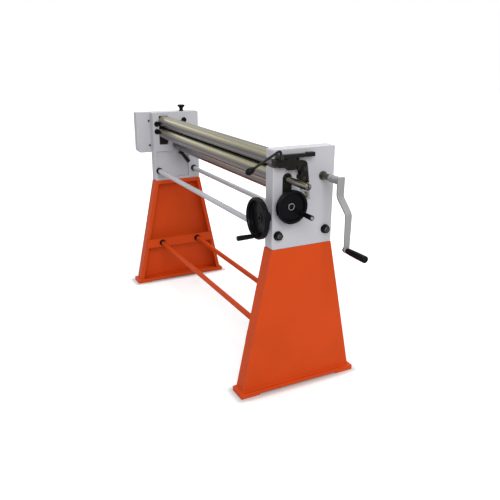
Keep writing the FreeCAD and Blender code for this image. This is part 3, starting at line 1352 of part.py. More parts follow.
def clamp_bracket():
    """Fork on the right head's outer face: back plate, boss and the cheek over the hinge."""
    plate = rounded_link("bracket", (OUTER, OUTER + S.bracket_thick), S.bracket_radius,
                         (S.bracket_top_y, S.bracket_top_z),
                         (S.bracket_foot_y, S.bracket_foot_z))
    out = CHEEK_X + S.cheek_thick
    cheek = rounded_link("cheek", (CHEEK_X, out), S.cheek_radius, (S.hinge_y, S.hinge_z),
                         (S.fork_y, S.fork_z))
    boss = rod("fork_boss", ALONG_X, OUTER, out, S.fork_boss_radius, 0, S.fork_y, S.fork_z)
    tools = [rod("bracket_bore" + key, ALONG_X, *through((OUTER, out)),
                 radius + S.running_fit, 0, y, z)
             for key, y, z, radius in bracket_spots()]
    tools.append(rod("stop_bore", ALONG_X, OUTER + S.bracket_thick / 3,
                     OUTER + S.bracket_thick + 1, S.stop_radius + S.running_fit, 0, S.stop_y,
                     S.stop_z))
    node(cut("clamp_bracket", fuse("bracket_shape", plate + cheek + [boss]), tools),
         "clamp_bracket")


def bracket_fasteners():
    """Headed hinge pin, the bracket's long screw and the small stop pin beside it."""
    out = CHEEK_X + S.cheek_thick
    headed = []
    for key, y, z, radius in bracket_spots():
        steps = stepped([(OUTER - S.bracket_grip, out, radius),
                         (out, out + S.pin_head, radius + S.pin_head_extra)])
        headed.append(lathe("headed_" + key, ROUND_X, steps, 0, y, z))
    stop = rod("stop_pin", ALONG_X, OUTER + S.bracket_thick / 3,
               OUTER + S.bracket_thick / 3 + S.stop_length, S.stop_radius, 0, S.stop_y,
               S.stop_z)
    node(headed[0], "clamp_hinge_pin")
    node(group("bracket_screw", [headed[1], stop]), "bracket_screw")


def clamp_arm():
    """Clamp: hinge boss, cranked web, and the bar that bears on the housing."""
    span = (CLAMP_X, CLAMP_X + S.clamp_thick)
    low = S.upper_z + S.housing_top + S.free_gap
    high = low + S.bar_height
    boss = rod("clamp_boss", ALONG_X, *span, S.clamp_boss_radius, 0, S.hinge_y, S.hinge_z)
    web = prism("clamp_web", ALONG_X, *span, points=[
        (S.web_front, low + 1), (S.web_front, S.hinge_z - 1),
        (S.hinge_y, S.hinge_z - S.clamp_boss_radius + 1), (S.knuckle_y, S.knuckle_z),
        (S.waist_y, S.waist_z), (S.web_rear, low + 1)])
    bar = box("clamp_bar", span, (S.eye_y, S.bar_rear), (low, high))
    eye_z = (low + high) / 2
    eye = rod("clamp_eye", ALONG_X, CLAMP_X, LEVER_X - S.free_gap, S.eye_radius, 0, S.eye_y,
              eye_z)
    block = box("clamp_end_block", (span[0], span[1] + S.bar_block_extra),
                (S.bar_rear - S.bar_block_length, S.bar_rear),
                (low, high + S.bar_block_extra))
    bores = [rod("clamp_bore", ALONG_X, *through(span), S.hinge_pin_radius + S.running_fit, 0,
                 S.hinge_y, S.hinge_z),
             rod("clamp_eye_bore", ALONG_X, CLAMP_X - 1, LEVER_X, S.eye_pin_radius + S.running_fit,
                 0, S.eye_y, eye_z)]
    flat = box("clamp_under", (CLAMP_X - 1, LEVER_X), (S.eye_y - 20, S.web_front),
               (low - 20, low))
    node(cut("clamp_arm", fuse("clamp_shape", [boss, web, bar, eye, block]),
             bores + [flat]), "clamp_arm")


def clamp_lever():
    """Bent lever on the clamp's front eye, with its pin and knob."""
    y, z = S.eye_y, S.upper_z + S.housing_top + S.free_gap + S.bar_height / 2
    x = LEVER_X + S.lever_thick / 2
    bend, end = (S.lever_bend_y, S.lever_bend_z), (S.lever_end_y, S.lever_end_z)
    neck, radius = S.lever_neck_radius, S.lever_rod_radius
    boss = rod("lever_boss", ALONG_X, LEVER_X, LEVER_X + S.lever_thick, S.eye_radius, 0, y, z)
    upright = slanted_rod("lever_neck", neck, x, (y, z), bend)
    bar = slanted_rod("lever_bar", radius, x, bend, end)
    joint = ball("lever_bend_ball", neck + 0.4, x, *bend)
    bore = rod("lever_bore", ALONG_X, LEVER_X - 1, LEVER_X + S.lever_thick + 1,
               S.eye_pin_radius + S.running_fit, 0, y, z)
    node(cut("clamp_lever", fuse("lever_shape", [boss, upright, bar, joint]), [bore]),
         "clamp_lever")
    out = LEVER_X + S.lever_thick + S.free_gap
    pin = stepped([(CLAMP_X, out, S.eye_pin_radius), (out, out + 3, S.eye_pin_radius + 3)])
    node(lathe("lever_pin", ROUND_X, pin, 0, y, z), "lever_pin")
    run, rise = end[0] - bend[0], end[1] - bend[1]
    turn = FreeCAD.Rotation(FreeCAD.Vector(1, 0, 0), FreeCAD.Vector(0, run.number, rise.number))
    k, low, tip = S.knob_radius, -S.knob_lap, S.knob_length - S.knob_lap
    outline = [(low, radius + S.running_fit), (low, k * 0.55), (low + 2, k * 0.75),
               (low + 8, k * 0.93), (low + 18, k), (tip - 11, k * 0.96), (tip - 5, k * 0.8),
               (tip - 1.5, k * 0.5), (tip, k * 0.2), (tip, 0.0), (S.free_gap, 0.0),
               (S.free_gap, radius + S.running_fit)]
    node(lathe("lever_knob", turn, outline, x, *end), "lever_knob")


# ---------------------------------------------------------------- small fittings


def lock_plunger():
    """Pull plunger with a broad cap on top of the left head."""
    cap = S.head_top + S.plunger_stem
    steps = [(S.head_top - S.plunger_depth, S.head_top + S.contact_gap, S.plunger_radius),
             (S.head_top + S.contact_gap, cap, S.plunger_stem_radius),
             (cap, cap + S.plunger_cap, S.plunger_cap_radius)]
    node(lathe("lock_plunger", ROUND_Z, stepped(steps), -MIDDLE, S.plunger_y), "lock_plunger")


def left_lock_lever():
    """Short lever on the left head's inner face that locks the rear roll's left block."""
    y, z = S.lock_lever_y, S.lock_lever_z
    floor = -(INNER + S.recess_depth) + S.free_gap
    hub = rod("lock_hub", ALONG_X, floor, floor + S.lock_hub_length, S.lock_lever_radius + 2, 0,
              y, z)
    pin = rod("lock_pin", ALONG_X, -(INNER + S.lock_pin_depth), floor + 1, S.lock_pin_radius, 0,
              y, z)
    x = floor + S.lock_hub_length - S.lock_lever_radius - 2
    end = (y + S.lock_lever_length * cosine(S.lock_lever_lean),
           z + S.lock_lever_length * sine(S.lock_lever_lean))
    arm = slanted_rod("lock_arm", S.lock_lever_radius, x, (y, z), end)
    tip = ball("lock_tip", S.lock_lever_radius, x, *end)
    node(fuse("left_lock_lever", [hub, pin, arm, tip]), "left_lock_lever")


def build():
    """Build every piece."""
    for side in (1, -1):
        stand(side)
        base_plate(side)
        crossbar(side)
    for make in (base_pads, tie_rods, rod_fasteners, head_bolts, right_head, left_head,
                 guide_bolts, seat_shoe, upper_roll, upper_pivot_box, upper_swivel,
                 upper_housing, lower_roll, right_lower_block, left_lower_block, cam_shaft,
                 cam_plates, wedge, front_screw, screw_cap, pocket_cover, right_rear_block,
                 left_rear_block, rear_roll, outer_handwheel, front_handwheel,
                 upper_roll_gear, plain_gears, idler_stud, gear_plate, gear_case, case_screws,
                 drive_shaft, crank_bushes, crank_arm, crank_grip, clamp_bracket,
                 bracket_fasteners, clamp_arm, clamp_lever, lock_plunger, left_lock_lever):
        make()


def check_and_export():
    """Recompute, check every object and write one file for each node."""
    DOCUMENT.recompute()
    for item in DOCUMENT.Objects:
        if "Invalid" in item.State or "Error" in item.State:
            raise RuntimeError("{} is in state {}".format(item.Name, item.State))
        if hasattr(item, "Shape") and (item.Shape.isNull() or not item.Shape.isValid()):
            if not item.isDerivedFrom("App::Origin"):
                raise RuntimeError("{} has a bad shape".format(item.Name))
    os.makedirs("parts", exist_ok=True)
    for item in NODES:
        item.Shape.exportStep("parts/{}.step".format(item.Label))
        box_of = item.Shape.BoundBox
        print("{:22s} {:3d} solids  x {:8.1f} {:8.1f}  y {:7.1f} {:7.1f}  z {:7.1f} {:7.1f}".format(
            item.Label, len(item.Shape.Solids), box_of.XMin, box_of.XMax, box_of.YMin,
            box_of.YMax, box_of.ZMin, box_of.ZMax))


build()
check_and_export()
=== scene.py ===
import json
import logging
import math
from dataclasses import dataclass
from enum import Enum
from typing import Callable, NamedTuple, Sequence

import bmesh
import bpy
from mathutils import Matrix, Vector


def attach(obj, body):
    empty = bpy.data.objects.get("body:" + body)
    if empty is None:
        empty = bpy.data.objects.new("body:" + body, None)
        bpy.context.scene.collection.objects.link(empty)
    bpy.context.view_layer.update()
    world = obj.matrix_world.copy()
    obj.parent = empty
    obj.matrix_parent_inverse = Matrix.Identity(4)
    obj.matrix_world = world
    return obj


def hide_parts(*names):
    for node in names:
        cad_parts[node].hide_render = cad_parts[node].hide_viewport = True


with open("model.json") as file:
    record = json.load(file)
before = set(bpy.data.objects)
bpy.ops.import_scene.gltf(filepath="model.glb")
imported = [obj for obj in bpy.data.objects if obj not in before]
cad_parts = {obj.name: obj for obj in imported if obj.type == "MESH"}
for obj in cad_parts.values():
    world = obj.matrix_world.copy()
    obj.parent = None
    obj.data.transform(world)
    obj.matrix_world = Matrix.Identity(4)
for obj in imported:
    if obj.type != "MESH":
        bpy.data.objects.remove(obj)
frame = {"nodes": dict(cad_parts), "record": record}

LOG = logging.getLogger("slip_roll")
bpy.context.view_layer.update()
MM = 0.001
FULL_TURN = 2 * math.pi
WELD_DISTANCE = 1e-6
SMOOTH_ANGLE = 35.0
CAD_SMOOTH_ANGLE = 32.0

Color = tuple[float, float, float]
Point = tuple[float, float, float]
Spot = tuple[float, float]
Varied = float | Callable[[float], float]
Profile = Sequence[tuple[Varied, Varied]]
Socket = bpy.types.NodeSocket
Value = Socket | float | Color
Ring = list[bmesh.types.BMVert]


class Axis(Enum):
    """Direction along which a turned piece lies."""

    X = (1.0, 0.0, 0.0)
    MINUS_Y = (0.0, -1.0, 0.0)
    Z = (0.0, 0.0, 1.0)

    def turn(self) -> Matrix:
        """Rotation that carries the X axis onto this direction."""
        return Vector((1, 0, 0)).rotation_difference(Vector(self.value)).to_matrix().to_4x4()


class Slot(Enum):
    """Material slots of the record."""

    CASTING = "casting_paint"
    STAND = "stand_paint"
    ROLL = "roll_steel"
    STEEL = "plain_steel"
    DARK = "dark_steel"
    IRON = "black_iron"
    PLASTIC = "black_plastic"


# -------------------- nodes


class Pattern(NamedTuple):
    """Noise: features in a metre, octaves, and the weight of the fine ones."""

    scale: float
    detail: float
    roughness: float = 0.5


class Nodes:
    """Adds nodes to the tree of a material or of the world."""

    def __init__(self, tree: bpy.types.NodeTree) -> None:
        """Empty a tree and keep hold of it."""
        self.nodes, self.links = tree.nodes, tree.links
        self.nodes.clear()

    def fill(self, socket: Socket, value: Value) -> None:
        """Link or set one input.

        Args:
            socket: The input.
            value: Socket, number, vector or colour.
        """
        if isinstance(value, Socket):
            self.links.new(value, socket)
        elif socket.type == "RGBA":
            socket.default_value = (*value, 1.0)
        else:
            socket.default_value = value

    def add(self, kind: str, output: str | int, inputs: dict[str | int, Value] | None = None,
            **options: str | int) -> Socket:
        """Add a node.

        Args:
            kind: Its type, without the prefix.
            output: The output wanted.
            inputs: What goes into each input, by name or number.
            **options: Its settings.

        Returns:
            The output socket.
        """
        node = self.nodes.new("ShaderNode" + kind)
        for option, setting in options.items():
            setattr(node, option, setting)
        for key, value in (inputs or {}).items():
            self.fill(node.inputs[key], value)
        return node.outputs[output]

    def number(self, operation: str, *values: Socket | float) -> Socket:
        """Work out a number from one to three others."""
        return self.add("Math", "Value", dict(enumerate(values)), operation=operation)

    def vector(self, operation: str, *values: Socket | Color, output: str = "Vector") -> Socket:
        """Work out a vector, or with output Value a number, from one or two vectors."""
        return self.add("VectorMath", output, dict(enumerate(values)), operation=operation)

    def scaled(self, value: Socket, source: Spot, target: Spot = (0.0, 1.0),
               easing: str = "LINEAR") -> Socket:
        """Map a number from a source range onto a target range, with an easing between."""
        ends = {"From Min": source[0], "From Max": source[1],
                "To Min": target[0], "To Max": target[1]}
        return self.add("MapRange", "Result", {"Value": value, **ends}, interpolation_type=easing)


class Shader(Nodes):
    """One node material with a principled surface."""

    NOISE_RANGE = (0.25, 0.75)
    EDGE_RANGE = (0.995, 0.86)
    MIX_FIRST, MIX_SECOND, MIX_RESULT = 6, 7, 2

    def __init__(self, name: str) -> None:
        """Start a material.

        Args:
            name: Name of the material.
        """
        self.material = bpy.data.materials.new(name)
        self.material.use_nodes = True
        super().__init__(self.material.node_tree)
        output = self.nodes.new("ShaderNodeOutputMaterial")
        self.surface = self.nodes.new("ShaderNodeBsdfPrincipled")
        self.links.new(self.surface.outputs["BSDF"], output.inputs["Surface"])
        self.place = self.add("TexCoord", "Object")

    def feed(self, inputs: dict[str, Value]) -> None:
        """Fill inputs of the surface by name."""
        for name, value in inputs.items():
            self.fill(self.surface.inputs[name], value)

    def stretched(self, scale: Color) -> Socket:
        """Give the place on the object, stretched by a factor on each axis."""
        return self.add("Mapping", "Vector", {"Scale": scale, "Vector": self.place})

    def noise(self, pattern: Pattern, stretch: Color = (1.0, 1.0, 1.0)) -> Socket:
        """Make a noise pattern, stretched by a factor on each axis."""
        return self.add("TexNoise", "Fac", {
            "Scale": pattern.scale, "Detail": pattern.detail, "Roughness": pattern.roughness,
            "Vector": self.stretched(stretch)})

    def spread(self, factor: Socket, middle: float, swing: Spot) -> Socket:
        """Map noise onto a range round a middle value."""
        return self.scaled(factor, self.NOISE_RANGE, (middle + swing[0], middle + swing[1]))

    def ramp(self, factor: Socket, stops: Sequence[tuple[float, Color]]) -> Socket:
        """Map a factor to colours.

        Args:
            factor: Input factor.
            stops: Place and colour of each stop.

        Returns:
            The colour socket.
        """
        node = self.nodes.new("ShaderNodeValToRGB")
        elements = node.color_ramp.elements
        while len(elements) < len(stops):
            elements.new(0.5)
        for element, (spot, color) in zip(elements, stops):
            element.position = spot
            element.color = (*color, 1.0)
        self.links.new(factor, node.inputs["Fac"])
        return node.outputs["Color"]

    def mix(self, factor: Socket, first: Socket, second: Color) -> Socket:
        """Mix two colours by the share of the second."""
        return self.add("Mix", self.MIX_RESULT, {
            "Factor": factor, self.MIX_FIRST: first, self.MIX_SECOND: second}, data_type="RGBA")

    def rounded(self, radius: float) -> Socket:
        """Normal that softens sharp edges by a radius in metres."""
        return self.add("Bevel", "Normal", {"Radius": radius}, samples=4)

    def edges(self, radius: float) -> Socket:
        """Mask that is 1 along sharp edges.

        Args:
            radius: Width of the edge in metres.

        Returns:
            The factor socket.
        """
        plain = self.add("NewGeometry", "Normal")
        bend = self.vector("DOT_PRODUCT", self.rounded(radius), plain, output="Value")
        return self.scaled(bend, self.EDGE_RANGE)

    def bump(self, height: Socket, distance: float, strength: float, normal: Socket) -> Socket:
        """Turn a height, with a full step in metres and a share that shows, into a normal."""
        return self.add("Bump", "Normal", {"Distance": distance, "Strength": strength,
                                           "Height": height, "Normal": normal})


# -------------------- finishes


@dataclass(frozen=True)
class Skin:
    """How one kind of surface varies in colour, gloss and height; lengths in metres."""

    cloud: Pattern
    stops: Spot
    shades: Spot
    uneven: Pattern
    swing: Spot
    grain: Pattern
    height: float
    strength: float
    rounding: float
    edge: float = 0.0
    metallic: float = 0.0


@dataclass(frozen=True)
class Finish:
    """Clouded colour with rubbed edges, uneven gloss and a fine skin."""

    name: str
    skin: Skin
    color: Color
    gloss: float
    rubbed: Color | None = None
    shine: float = 0.5

    def material(self) -> bpy.types.Material:
        """Build the material."""
        shader, skin = Shader(self.name), self.skin
        stops = [(stop, tuple(c * shade for c in self.color))
                 for stop, shade in zip(skin.stops, skin.shades)]
        color = shader.ramp(shader.noise(skin.cloud), stops)
        if self.rubbed:
            color = shader.mix(shader.edges(skin.edge), color, self.rubbed)
        roughness = shader.spread(shader.noise(skin.uneven), self.gloss, skin.swing)
        normal = shader.bump(shader.noise(skin.grain), skin.height, skin.strength,
                             shader.rounded(skin.rounding))
        shader.feed({"Base Color": color, "Metallic": skin.metallic, "Roughness": roughness,
                     "Specular IOR Level": self.shine, "Normal": normal})
        return shader.material


@dataclass(frozen=True)
class PolishedRoll:
    """Ground steel roll with a painted highlight, reflection tints and shade set round it by angle.
    """

    name: str
    plain: Color
    painted_highlight: Color
    olive: Color
    violet: Color
    painted_shade: Color
    streak: float = 0.20
    cool: float = 1.03
    warm: float = 0.96
    polish: float = 0.25
    polish_swing: Spot = (-0.05, 0.07)
    wander: float = 0.030
    rounding: float = 0.0012

    def painted_light_bands(self) -> list[tuple[float, Color]]:
        """Painted light round the roll, from a full turn's start to its end."""
        # Painted light by angle: plain at the back, painted shade over the top, a painted highlight
        # with olive edges on the upper front, violet on the front, painted shade on the underside.
        return [(0.0, self.plain), (0.17, self.plain), (0.20, self.painted_shade), (0.280, self.painted_shade),
                (0.295, self.olive), (0.33, self.painted_highlight), (0.42, self.painted_highlight),
                (0.455, self.olive), (0.50, self.violet), (0.58, self.violet),
                (0.64, self.painted_shade), (0.80, self.painted_shade), (1.0, self.plain)]

    def round_turn(self, shader: Shader) -> Socket:
        """Share of a turn round the roll's own axis, from the back over the top.

        Args:
            shader: The roll's shader.

        Returns:
            The share's socket, from 0 to 1.
        """
        box = shader.add("TexCoord", "Generated")
        y, z = (shader.number("SUBTRACT", shader.add("SeparateXYZ", name, {"Vector": box}), 0.5)
                for name in ("Y", "Z"))
        share = shader.number("MULTIPLY", shader.number("ARCTAN2", z, y), 1 / FULL_TURN)
        return shader.number("WRAP", share, 1.0, 0.0)

    def material(self) -> bpy.types.Material:
        """Build the material."""
        shader = Shader(self.name)
        # The painted highlight and shade are fixed to the roll and do not follow the lamps; the
        # drift only wavers their edges.
        slow = shader.noise(Pattern(1.0, 3.0), (1.8, 9.0, 9.0))
        drift = shader.spread(slow, 0.0, (-self.wander, self.wander))
        turn = shader.number("ADD", self.round_turn(shader), drift)
        painted_reflection = shader.ramp(turn, self.painted_light_bands())
        low, high = 1.0 - self.streak, 1.0 + self.streak
        fine = shader.noise(Pattern(1.0, 4.0, 0.65), (0.30, 170.0, 170.0))
        shade = shader.ramp(fine, [(0.30, (low, low, low * self.cool)), (0.50, (1.0, 1.0, 1.0)),
                                   (0.70, (high, high, high * self.warm))])
        haze = shader.noise(Pattern(1.0, 4.0, 0.6), (3.0, 60.0, 60.0))
        shader.feed({"Base Color": shader.vector("MULTIPLY", painted_reflection, shade), "Metallic": 1.0,
                     "Roughness": shader.spread(haze, self.polish, self.polish_swing),
                     "Normal": shader.rounded(self.rounding)})
        return shader.material


PAINTED = Skin(cloud=Pattern(5.0, 4.0), stops=(0.3, 0.7), shades=(0.95, 1.05),
               uneven=Pattern(14.0, 4.0), swing=(-0.06, 0.08), grain=Pattern(380.0, 2.0),
               height=0.00004, strength=1.0, rounding=0.0016, edge=0.0016)
TURNED = Skin(cloud=Pattern(60.0, 5.0), stops=(0.35, 0.62), shades=(0.72, 1.0),
              uneven=Pattern(180.0, 4.0), swing=(-0.08, 0.12), grain=Pattern(1500.0, 2.0),
              height=0.000012, strength=1.0, rounding=0.0008, edge=0.0008, metallic=1.0)
CAST = Skin(cloud=Pattern(45.0, 5.0), stops=(0.35, 0.65), shades=(0.6, 1.0),
            uneven=Pattern(90.0, 4.0), swing=(-0.10, 0.14), grain=Pattern(700.0, 4.0, 0.6),
            height=0.00025, strength=0.5, rounding=0.0014, edge=0.0012)
MOULDED = Skin(cloud=Pattern(30.0, 4.0), stops=(0.3, 0.7), shades=(0.75, 1.0),
               uneven=Pattern(25.0, 5.0), swing=(-0.07, 0.12), grain=Pattern(1100.0, 2.0),
               height=0.00003, strength=0.6, rounding=0.0012)

PAINT = Finish("casting_grey_paint", PAINTED, (0.47, 0.468, 0.50), 0.34, (0.60, 0.60, 0.62), 0.35)
ARM_PAINT = Finish("crank_grey_paint", PAINTED, (0.285, 0.284, 0.291), 0.34, (0.40, 0.40, 0.41),
                   0.35)
ORANGE = Finish("stand_orange_paint", PAINTED, (0.585, 0.061, 0.0075), 0.42, (0.66, 0.11, 0.025),
                0.10)
# The roll's colours: plain steel, then the painted highlight, olive and violet reflection tints,
# and painted shade.
ROLL = PolishedRoll("roll_ground_steel", (0.20, 0.195, 0.175), (0.285, 0.264, 0.182),
                    (0.205, 0.188, 0.124), (0.127, 0.115, 0.131), (0.075, 0.070, 0.062))
STEEL = Finish("machined_steel", TURNED, (0.22, 0.215, 0.195), 0.34, (0.38, 0.37, 0.35))
DARK = Finish("blackened_steel", TURNED, (0.018, 0.018, 0.019), 0.42, (0.06, 0.06, 0.06))
MILLED = Finish("milled_steel", TURNED, (0.38, 0.376, 0.39), 0.45, (0.46, 0.46, 0.465))
ROD_END = Finish("rod_end_steel", TURNED, (0.070, 0.067, 0.060), 0.55, (0.09, 0.087, 0.08))
BROWNED = Finish("browned_steel", TURNED, (0.050, 0.041, 0.036), 0.42, (0.10, 0.09, 0.08))
OILED = Finish("oiled_steel", TURNED, (0.125, 0.118, 0.098), 0.36, (0.24, 0.23, 0.20))
IRON = Finish("black_cast_iron", CAST, (0.012, 0.011, 0.010), 0.44, (0.040, 0.038, 0.035), 0.12)
PLASTIC = Finish("black_plastic", MOULDED, (0.0048, 0.0048, 0.0060), 0.28, shine=0.07)

FINISHES = {Slot.CASTING: PAINT, Slot.STAND: ORANGE, Slot.ROLL: ROLL, Slot.STEEL: STEEL,
            Slot.DARK: DARK, Slot.IRON: IRON, Slot.PLASTIC: PLASTIC}
SPECIAL_FINISHES = {
    ARM_PAINT: ("crank_arm_bar",),
    BROWNED: ("lever_pin", "clamp_hinge_pin", "bracket_screw"),
    DARK: ("cam_shaft", "case_screws", "crank_grip_bolt", "front_grip_bolt", "front_screw"),
    MILLED: ("right_rear_block", "outer_grip_bolt_socketed", "outer_hub_ring"),
    OILED: ("drive_shaft", "crank_bushes", "left_rear_block", "seat_shoe", "upper_swivel",
            "wedge"),
    PLASTIC: ("guide_screws_socketed",),
    ROD_END: ("rod_end_threads",)}
OWN_FINISH = {name: finish for finish, names in SPECIAL_FINISHES.items() for name in names}


class Paintbox:
    """Makes each finish's material once and dresses objects in it."""

    def __init__(self) -> None:
        """Start with no material made."""
        self.made: dict[str, bpy.types.Material] = {}

    def dress(self, thing: bpy.types.Object, name: str, slot: Slot, smooth: float) -> None:
        """Give an object its finish and shade it smooth between sharp edges.

        Args:
            thing: Object to dress.
            name: Name of the node or piece.
            slot: Its slot, for pieces with no finish of their own.
            smooth: Angle in degrees under which faces shade smooth.
        """
        finish = OWN_FINISH.get(name, FINISHES[slot])
        if finish.name not in self.made:
            self.made[finish.name] = finish.material()
        if not thing.material_slots:
            thing.data.materials.append(None)
        for material_slot in thing.material_slots:
            material_slot.material = self.made[finish.name]
        for polygon in thing.data.polygons:
            polygon.use_smooth = True
        thing.data.set_sharp_from_angle(angle=math.radians(smooth))


PAINTBOX = Paintbox()


# -------------------- shapes


def add_object(name: str, data: bpy.types.ID) -> bpy.types.Object:
    """Add an object to the scene.

    Args:
        name: Name of the object.
        data: Its mesh, lamp or camera.

    Returns:
        The object.
    """
    thing = bpy.data.objects.new(name, data)
    bpy.context.scene.collection.objects.link(thing)
    return thing


def add_mesh(name: str, mesh: bmesh.types.BMesh) -> bpy.types.Object:
    """Turn a mesh under construction into an object of the scene.

    Args:
        name: Name of the object.
        mesh: Mesh under construction.

    Returns:
        The object.
    """
    data = bpy.data.meshes.new(name)
    mesh.to_mesh(data)
    mesh.free()
    return add_object(name, data)


def place_at(x: float, y: float, z: float, axis: Axis = Axis.X) -> Matrix:
    """Give the matrix, in metres, that puts a turned form at a place in millimetres."""
    return Matrix.Translation(Vector((x, y, z)) * MM) @ axis.turn()


def arc(center: Spot, radius: float, start: float, end: float, steps: int) -> list[Spot]:
    """Points along an arc of a section.

    Args:
        center: Centre as (along, radius).
        radius: Radius of the arc.
        start: First angle in degrees from the along direction.
        end: Last angle in degrees.
        steps: Number of chords.

    Returns:
        The points.
    """
    turns = [math.radians(start + (end - start) * step / steps) for step in range(steps + 1)]
    return [(center[0] + radius * math.cos(turn), center[1] + radius * math.sin(turn))
            for turn in turns]


def bend(before: Vector, corner: Vector, after: Vector, reach: float, steps: int) -> list[Vector]:
    """Round the corner of a path.

    Args:
        before: Point of the path before the corner.
        corner: The corner.
        after: Point after it.
        reach: How far from the corner the bend begins and ends.
        steps: Number of chords.

    Returns:
        The points of the bend.
    """
    into = corner + (before - corner).normalized() * reach
    out = corner + (after - corner).normalized() * reach
    return [into * (1 - t) ** 2 + corner * (2 * t * (1 - t)) + out * t ** 2
            for t in (step / steps for step in range(steps + 1))]


def even_sided(flats: float, sides: int, turn: float = 0.0) -> Callable[[float], float]:
    """Radius, at an angle, of an even polygon of a size across flats, turned back in radians."""
    share = FULL_TURN / sides
    return lambda angle: flats / 2 / math.cos((angle + turn) % share - share / 2)


class ScrewHead(NamedTuple):
    """Round head: radius, height, and its socket's size across flats and depth."""

    radius: float
    height: float
    socket: float
    depth: float


class Form:
    """Mesh under construction; every size it is given is in millimetres."""

    NUT_FACE, NUT_SINK, NUT_SLOPE, NUT_SEGMENTS = 0.475, 0.03, 0.577, 72
    HEAD_ROUND, HEAD_ROUND_HEIGHT, HEAD_SEGMENTS = 0.22, 0.6, 48
    SOCKET_MOUTH, SOCKET_SINK = 0.66, 0.08
    BAR_SIDE, BAR_SIDE_ALONG_X, NEARLY_ALONG = (1, 0.01, 0.02), (0, 0, 1), 0.9

    def __init__(self) -> None:
        """Start with no points."""
        self.mesh = bmesh.new()

    def finish(self, name: str, slot: Slot, body: str, node: str = "",
               smooth: float = SMOOTH_ANGLE) -> None:
        """Turn the form into a dressed piece that rides on a body.

        Args:
            name: Name of the piece.
            slot: The record's slot it takes its finish from.
            body: Body that it rides on.
            node: Node that it replaces, if any.
            smooth: Angle in degrees under which faces shade smooth.
        """
        bmesh.ops.remove_doubles(self.mesh, verts=self.mesh.verts, dist=WELD_DISTANCE)
        bmesh.ops.recalc_face_normals(self.mesh, faces=self.mesh.faces)
        piece = add_mesh(name, self.mesh)
        PAINTBOX.dress(piece, name, slot, smooth)
        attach(piece, body)
        if node:
            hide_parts(node)
        LOG.info("made %s on %s", name, body)

    def points(self, places: Sequence[Vector]) -> Ring:
        """Add points at places in millimetres."""
        return [self.mesh.verts.new(place * MM) for place in places]

    def ring(self, place: Matrix, along: Varied, radius: Varied, segments: int) -> Ring:
        """Add one ring of points round the X axis, or one point where the radius is nought.

        Args:
            place: Where the form goes.
            along: Place along the axis, or a function of the angle.
            radius: Radius, or a function of the angle.
            segments: Points round the axis.

        Returns:
            The ring's points.
        """
        if radius == 0:
            return [self.mesh.verts.new(place @ Vector((along * MM, 0, 0)))]
        points = []
        for k in range(segments):
            angle = FULL_TURN * k / segments
            u = (along(angle) if callable(along) else along) * MM
            r = (radius(angle) if callable(radius) else radius) * MM
            spot = Vector((u, r * math.cos(angle), r * math.sin(angle)))
            points.append(self.mesh.verts.new(place @ spot))
        return points

    def turned(self, outline: Profile, place: Matrix, segments: int) -> None:
        """Add a form turned about the X axis.

        Args:
            outline: Closed section as (along, radius).
            place: Where it goes.
            segments: Faces round the axis.
        """
        rings = [self.ring(place, along, radius, segments) for along, radius in outline]
        for first, second in zip(rings, rings[1:] + rings[:1]):
            if len(first) == len(second) == 1:
                continue
            for k in range(segments):
                corners = [first[k % len(first)], first[(k + 1) % len(first)],
                           second[(k + 1) % len(second)], second[k % len(second)]]
                self.mesh.faces.new(list(dict.fromkeys(corners)))

    def skinned(self, rings: Sequence[Ring]) -> None:
        """Skin a row of rings and cap both ends.

        Args:
            rings: The rings, each with as many points as the next.
        """
        for first, second in zip(rings, rings[1:]):
            for k, corner in enumerate(first):
                after = (k + 1) % len(first)
                self.mesh.faces.new([corner, first[after], second[after], second[k]])
        self.mesh.faces.new(list(reversed(rings[0])))
        self.mesh.faces.new(rings[-1])

    def swept(self, path: Sequence[Vector], radii: Sequence[float], segments: int) -> None:
        """Add a round bar along a path, capped at both ends.

        Args:
            path: Points of the centre line.
            radii: Radius at each point.
            segments: Faces round the bar.
        """
        path = [point * MM for point in path]
        rings = []
        normal = Vector(self.BAR_SIDE).normalized()
        if abs((path[-1] - path[0]).normalized().x) > self.NEARLY_ALONG:
            normal = Vector(self.BAR_SIDE_ALONG_X)
        for index, (point, radius) in enumerate(zip(path, radii)):
            before, after = path[max(index - 1, 0)], path[min(index + 1, len(path) - 1)]
            tangent = (after - before).normalized()
            normal = (normal - tangent * normal.dot(tangent)).normalized()
            side = tangent.cross(normal)
            angles = [FULL_TURN * k / segments for k in range(segments)]
            rings.append([self.mesh.verts.new(point + radius * MM * (
                normal * math.cos(angle) + side * math.sin(angle))) for angle in angles])
        self.skinned(rings)

    def nut(self, place: Matrix, flats: float, height: float, bore: float) -> None:
        """Add a hexagon nut with both faces chamfered and a countersunk bore.

        Args:
            place: Where it goes.
            flats: Size across the flats.
            height: Height of the nut.
            bore: Radius of its bore.
        """
        corner, face, sink = even_sided(flats, 6), flats * self.NUT_FACE, flats * self.NUT_SINK

        def drop(angle: float) -> float:
            """Depth of the chamfer at an angle."""
            return (corner(angle) - face) * self.NUT_SLOPE

        self.turned([(sink, bore), (0.0, bore + sink), (0.0, face), (drop, corner),
                     (lambda angle: height - drop(angle), corner), (height, face),
                     (height, bore + sink), (height - sink, bore)], place, self.NUT_SEGMENTS)

    def socket_head(self, place: Matrix, head: ScrewHead) -> None:
        """Add a round screw head with a rounded edge and a hexagon socket.

        Args:
            place: Where it goes.
            head: Its sizes.
        """
        radius, height, socket, depth = head
        soft = min(radius * self.HEAD_ROUND, height * self.HEAD_ROUND_HEIGHT)
        key = even_sided(socket, 6)
        outline = [(0.0, radius), *arc((height - soft, radius - soft), soft, 90, 0, 5),
                   (height, socket * self.SOCKET_MOUTH),
                   (height - socket * self.SOCKET_SINK, key), (height - depth, key)]
        self.skinned([self.ring(place, u, r, self.HEAD_SEGMENTS) for u, r in outline])


# -------------------- sub-assemblies


